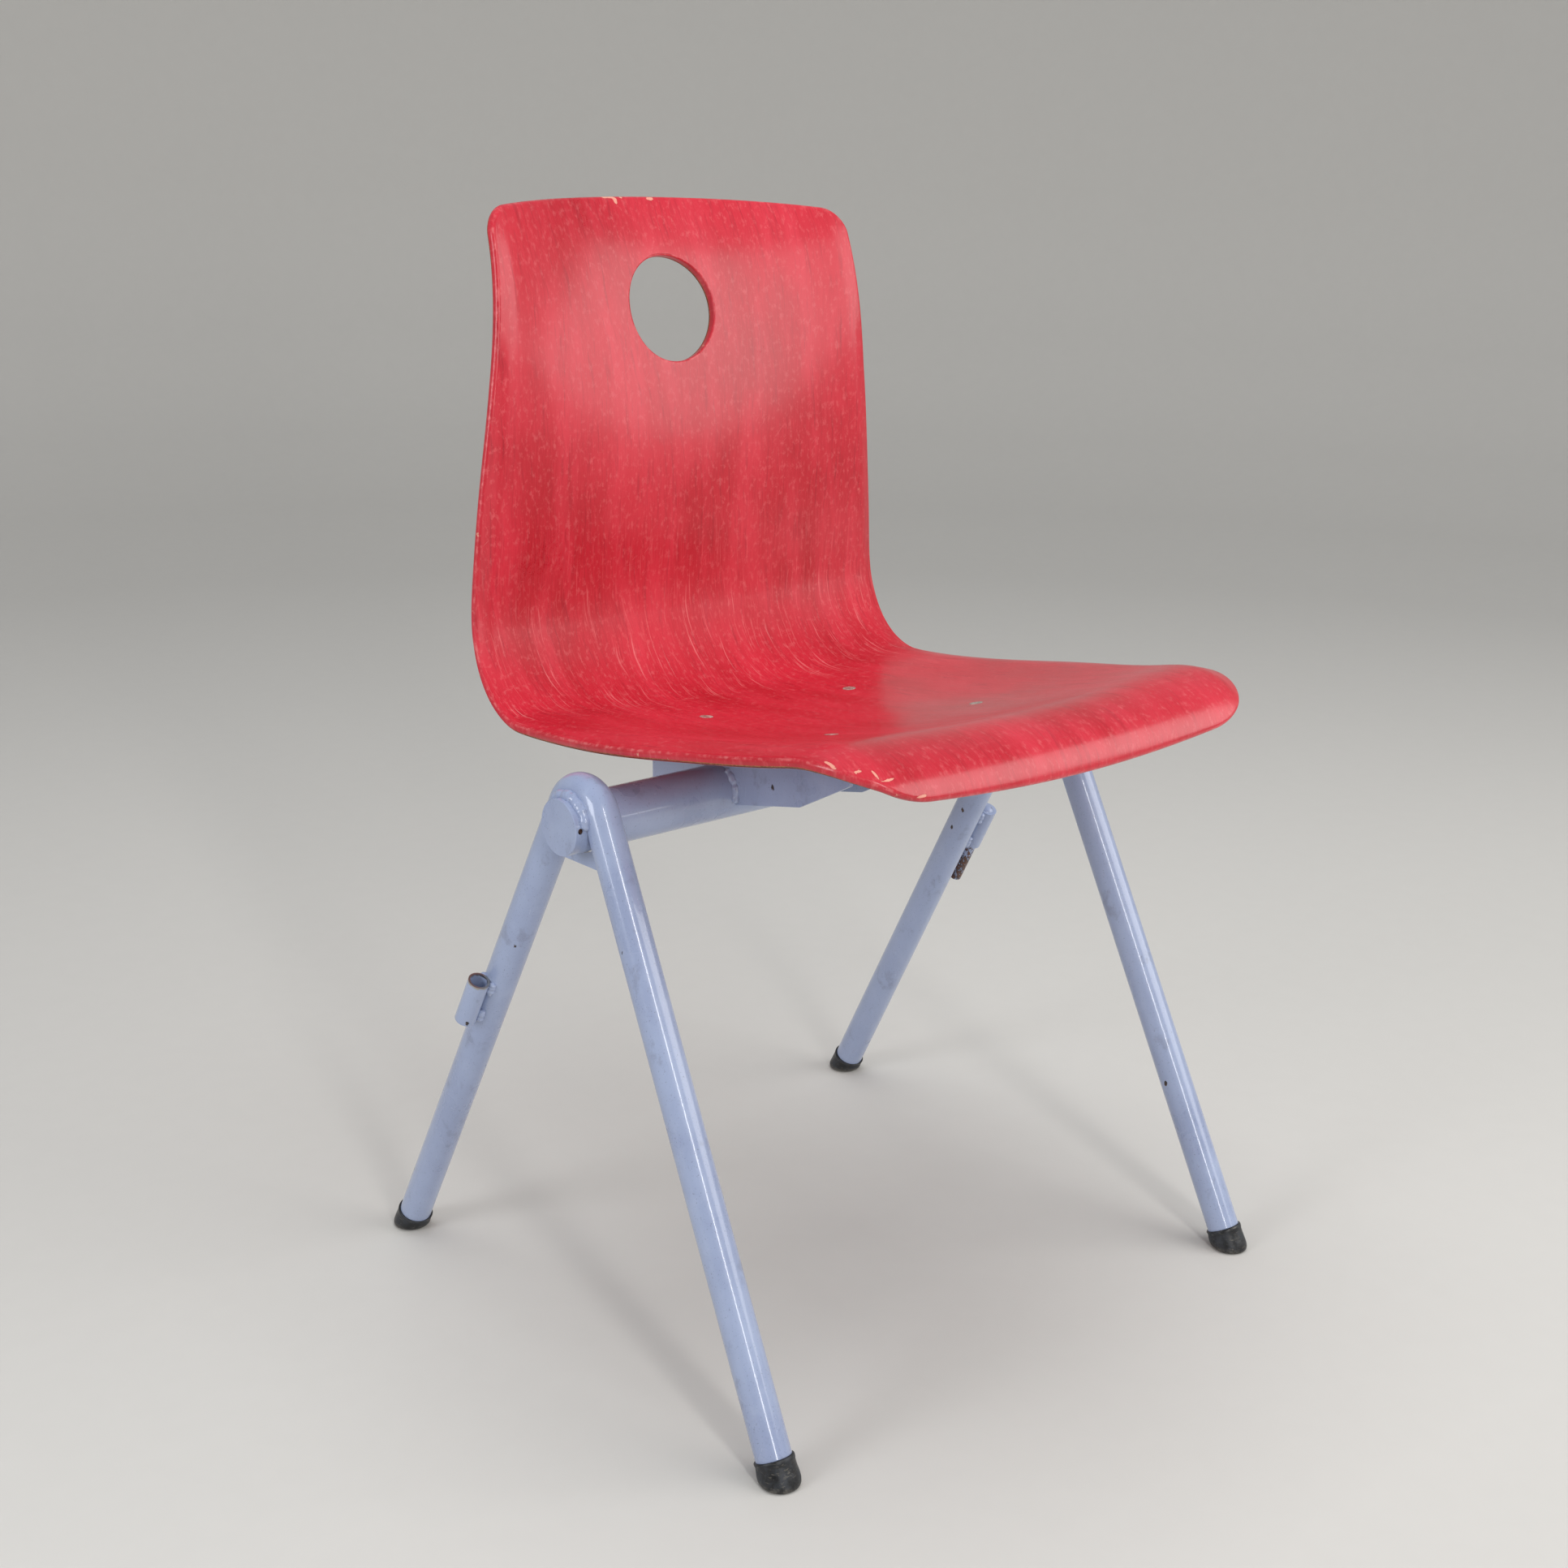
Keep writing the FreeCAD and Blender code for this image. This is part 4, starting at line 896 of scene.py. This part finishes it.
def socket_lip(look, place):
    return look.ramp(down_leg(look, place, SOCKET_BELOW, -1), 0.0035, -0.0005, 0.0, 0.9)


def pin_rub(look, place):
    return look.ramp(down_leg(look, place, PIN_BELOW, 1), 0.030, 0.060, 0.10, 0.62)


make_shell(veneer())
paint = enamel()
build_welds(paint)
black = rubber()
for foot_number, (end, reach) in enumerate((("front", -FRONT_FOOT_REACH), ("rear", REAR_FOOT_REACH))):
    for side_name, side in (("left", 1), ("right", -1)):
        node_name = "foot_%s_%s" % (end, side_name)
        build_foot("ferrule_%s_%s" % (end, side_name), reach, side, node_name, black, foot_number * 2 + side)
sides = ("left", "right")
dress(["leg_frame_" + s for s in sides] + ["crossbar"], paint)
dress(["end_cap_" + s for s in sides], paint)
dress(["gusset_" + s for s in sides] + ["seat_bracket_" + s for s in sides], paint, 0.5)
dress(["linking_socket"], enamel("socket_enamel", 1.2, bare_from=socket_lip), 0.4)
dress(["linking_pin_holder"], enamel("holder_enamel", 1.2), 0.4)
dress(["linking_pin"], enamel("pin_enamel", 1.4, worn=pin_rub))
dress(["cap_pin_" + s for s in sides], steel("dark_steel", STEEL_DARK, CHIP_DARK, 0.7, 0.8), 0.3)
dress(["bolt_washers", "lock_nuts"], steel("bare_steel", STEEL, STEEL_DARK, 0.15, 0.9))
build_bolts(steel("worn_bolt_steel", STEEL_RUBBED, STEEL_HANDLED, 0.10, 0.55))

# ------------------------------------------------------------------ floor, light and camera
FLOOR_COLOUR = srgb(206, 204, 200)
FLOOR_SPECK = srgb(190, 188, 184)
# Radius and height of the floor's rings in metres: flat, then curving up into the backdrop
FLOOR_RINGS = [(1.0, 0.0), (2.0, 0.0), (3.0, 0.0), (3.6, 0.05), (4.0, 0.18), (4.3, 0.42), (4.45, 0.8),
               (4.5, 1.4), (4.5, 3.2)]
FLOOR_SIDES = 72
SKY_COLOUR = (0.93, 0.96, 1.0, 1.0)
SKY_STRENGTH = 0.40
CAMERA_AT = (-1.0071, -1.0729, 0.8109)
CAMERA_YAW, CAMERA_PITCH, CAMERA_ROLL = 0.7290, 0.2851, 0.01676
CAMERA_LENS, CAMERA_SENSOR = 46.68, 36.0


def look_matrix(yaw, pitch, roll):
    ahead = Vector((math.sin(yaw) * math.cos(pitch), math.cos(yaw) * math.cos(pitch), -math.sin(pitch)))
    right = Vector((math.cos(yaw), -math.sin(yaw), 0))
    up = right.cross(ahead)
    right, up = right * math.cos(roll) + up * math.sin(roll), up * math.cos(roll) - right * math.sin(roll)
    return Matrix((right, up, -ahead)).transposed().to_4x4()


def make_camera():
    data = bpy.data.cameras.new("camera")
    data.lens = CAMERA_LENS
    data.sensor_width = CAMERA_SENSOR
    camera = bpy.data.objects.new("camera", data)
    camera.matrix_world = Matrix.Translation(CAMERA_AT) @ look_matrix(CAMERA_YAW, CAMERA_PITCH, CAMERA_ROLL)
    bpy.context.scene.collection.objects.link(camera)
    bpy.context.scene.camera = camera


def area_light(name, at, towards, width, height, power, tint=(1, 1, 1), mirrored=True):
    data = bpy.data.lights.new(name, "AREA")
    data.shape = "RECTANGLE"
    data.size, data.size_y = width, height
    data.energy = power
    data.color = tint
    light = bpy.data.objects.new(name, data)
    light.location = at
    light.rotation_euler = (Vector(towards) - Vector(at)).to_track_quat("-Z", "Y").to_euler()
    light.visible_glossy = mirrored
    bpy.context.scene.collection.objects.link(light)


def make_stage():
    """Pale floor that curves up into a backdrop all round."""
    around = FLOOR_SIDES
    points = [(r * math.cos(2 * math.pi * k / around), r * math.sin(2 * math.pi * k / around), h)
              for r, h in FLOOR_RINGS for k in range(around)]
    faces = [(i * around + k, (i + 1) * around + k, (i + 1) * around + (k + 1) % around,
              i * around + (k + 1) % around)
             for i in range(len(FLOOR_RINGS) - 1) for k in range(around)]
    faces.append(tuple(range(around)))
    floor = make_object("studio_floor", points, faces)
    look = Look("studio_floor")
    place = look.place()
    speck = look.noise(look.stretched(place, (40, 40, 40)), detail=4.0)
    colour = look.mix(look.ramp(speck, 0.3, 0.7, 0, 0.05), FLOOR_COLOUR, FLOOR_SPECK)
    look.finish(Base_Color=colour, Roughness=0.75)
    floor.data.materials.append(look.material)


make_stage()
make_camera()
area_light("big_window", (1.60, -2.05, 1.50), (0.0, 0.0, 0.62), 2.4, 1.75, 40, (1.0, 0.99, 0.975))
area_light("strip_window", (-0.96, -2.63, 1.6), (0, 0, 0.45), 0.26, 2.2, 30, (1.0, 0.985, 0.96))
area_light("low_window", (-2.6, 0.15, 1.25), (-0.15, 0.1, 0.55), 1.0, 1.2, 24, (0.95, 0.97, 1.0))
area_light("top_soft", (0.1, 0.0, 3.2), (0, 0, 0.3), 2.4, 2.4, 42, mirrored=False)
world = bpy.data.worlds.new("studio")
world.use_nodes = True
world.node_tree.nodes["Background"].inputs[0].default_value = SKY_COLOUR
world.node_tree.nodes["Background"].inputs[1].default_value = SKY_STRENGTH
bpy.context.scene.world = world
bpy.context.scene.view_settings.view_transform = "Standard"
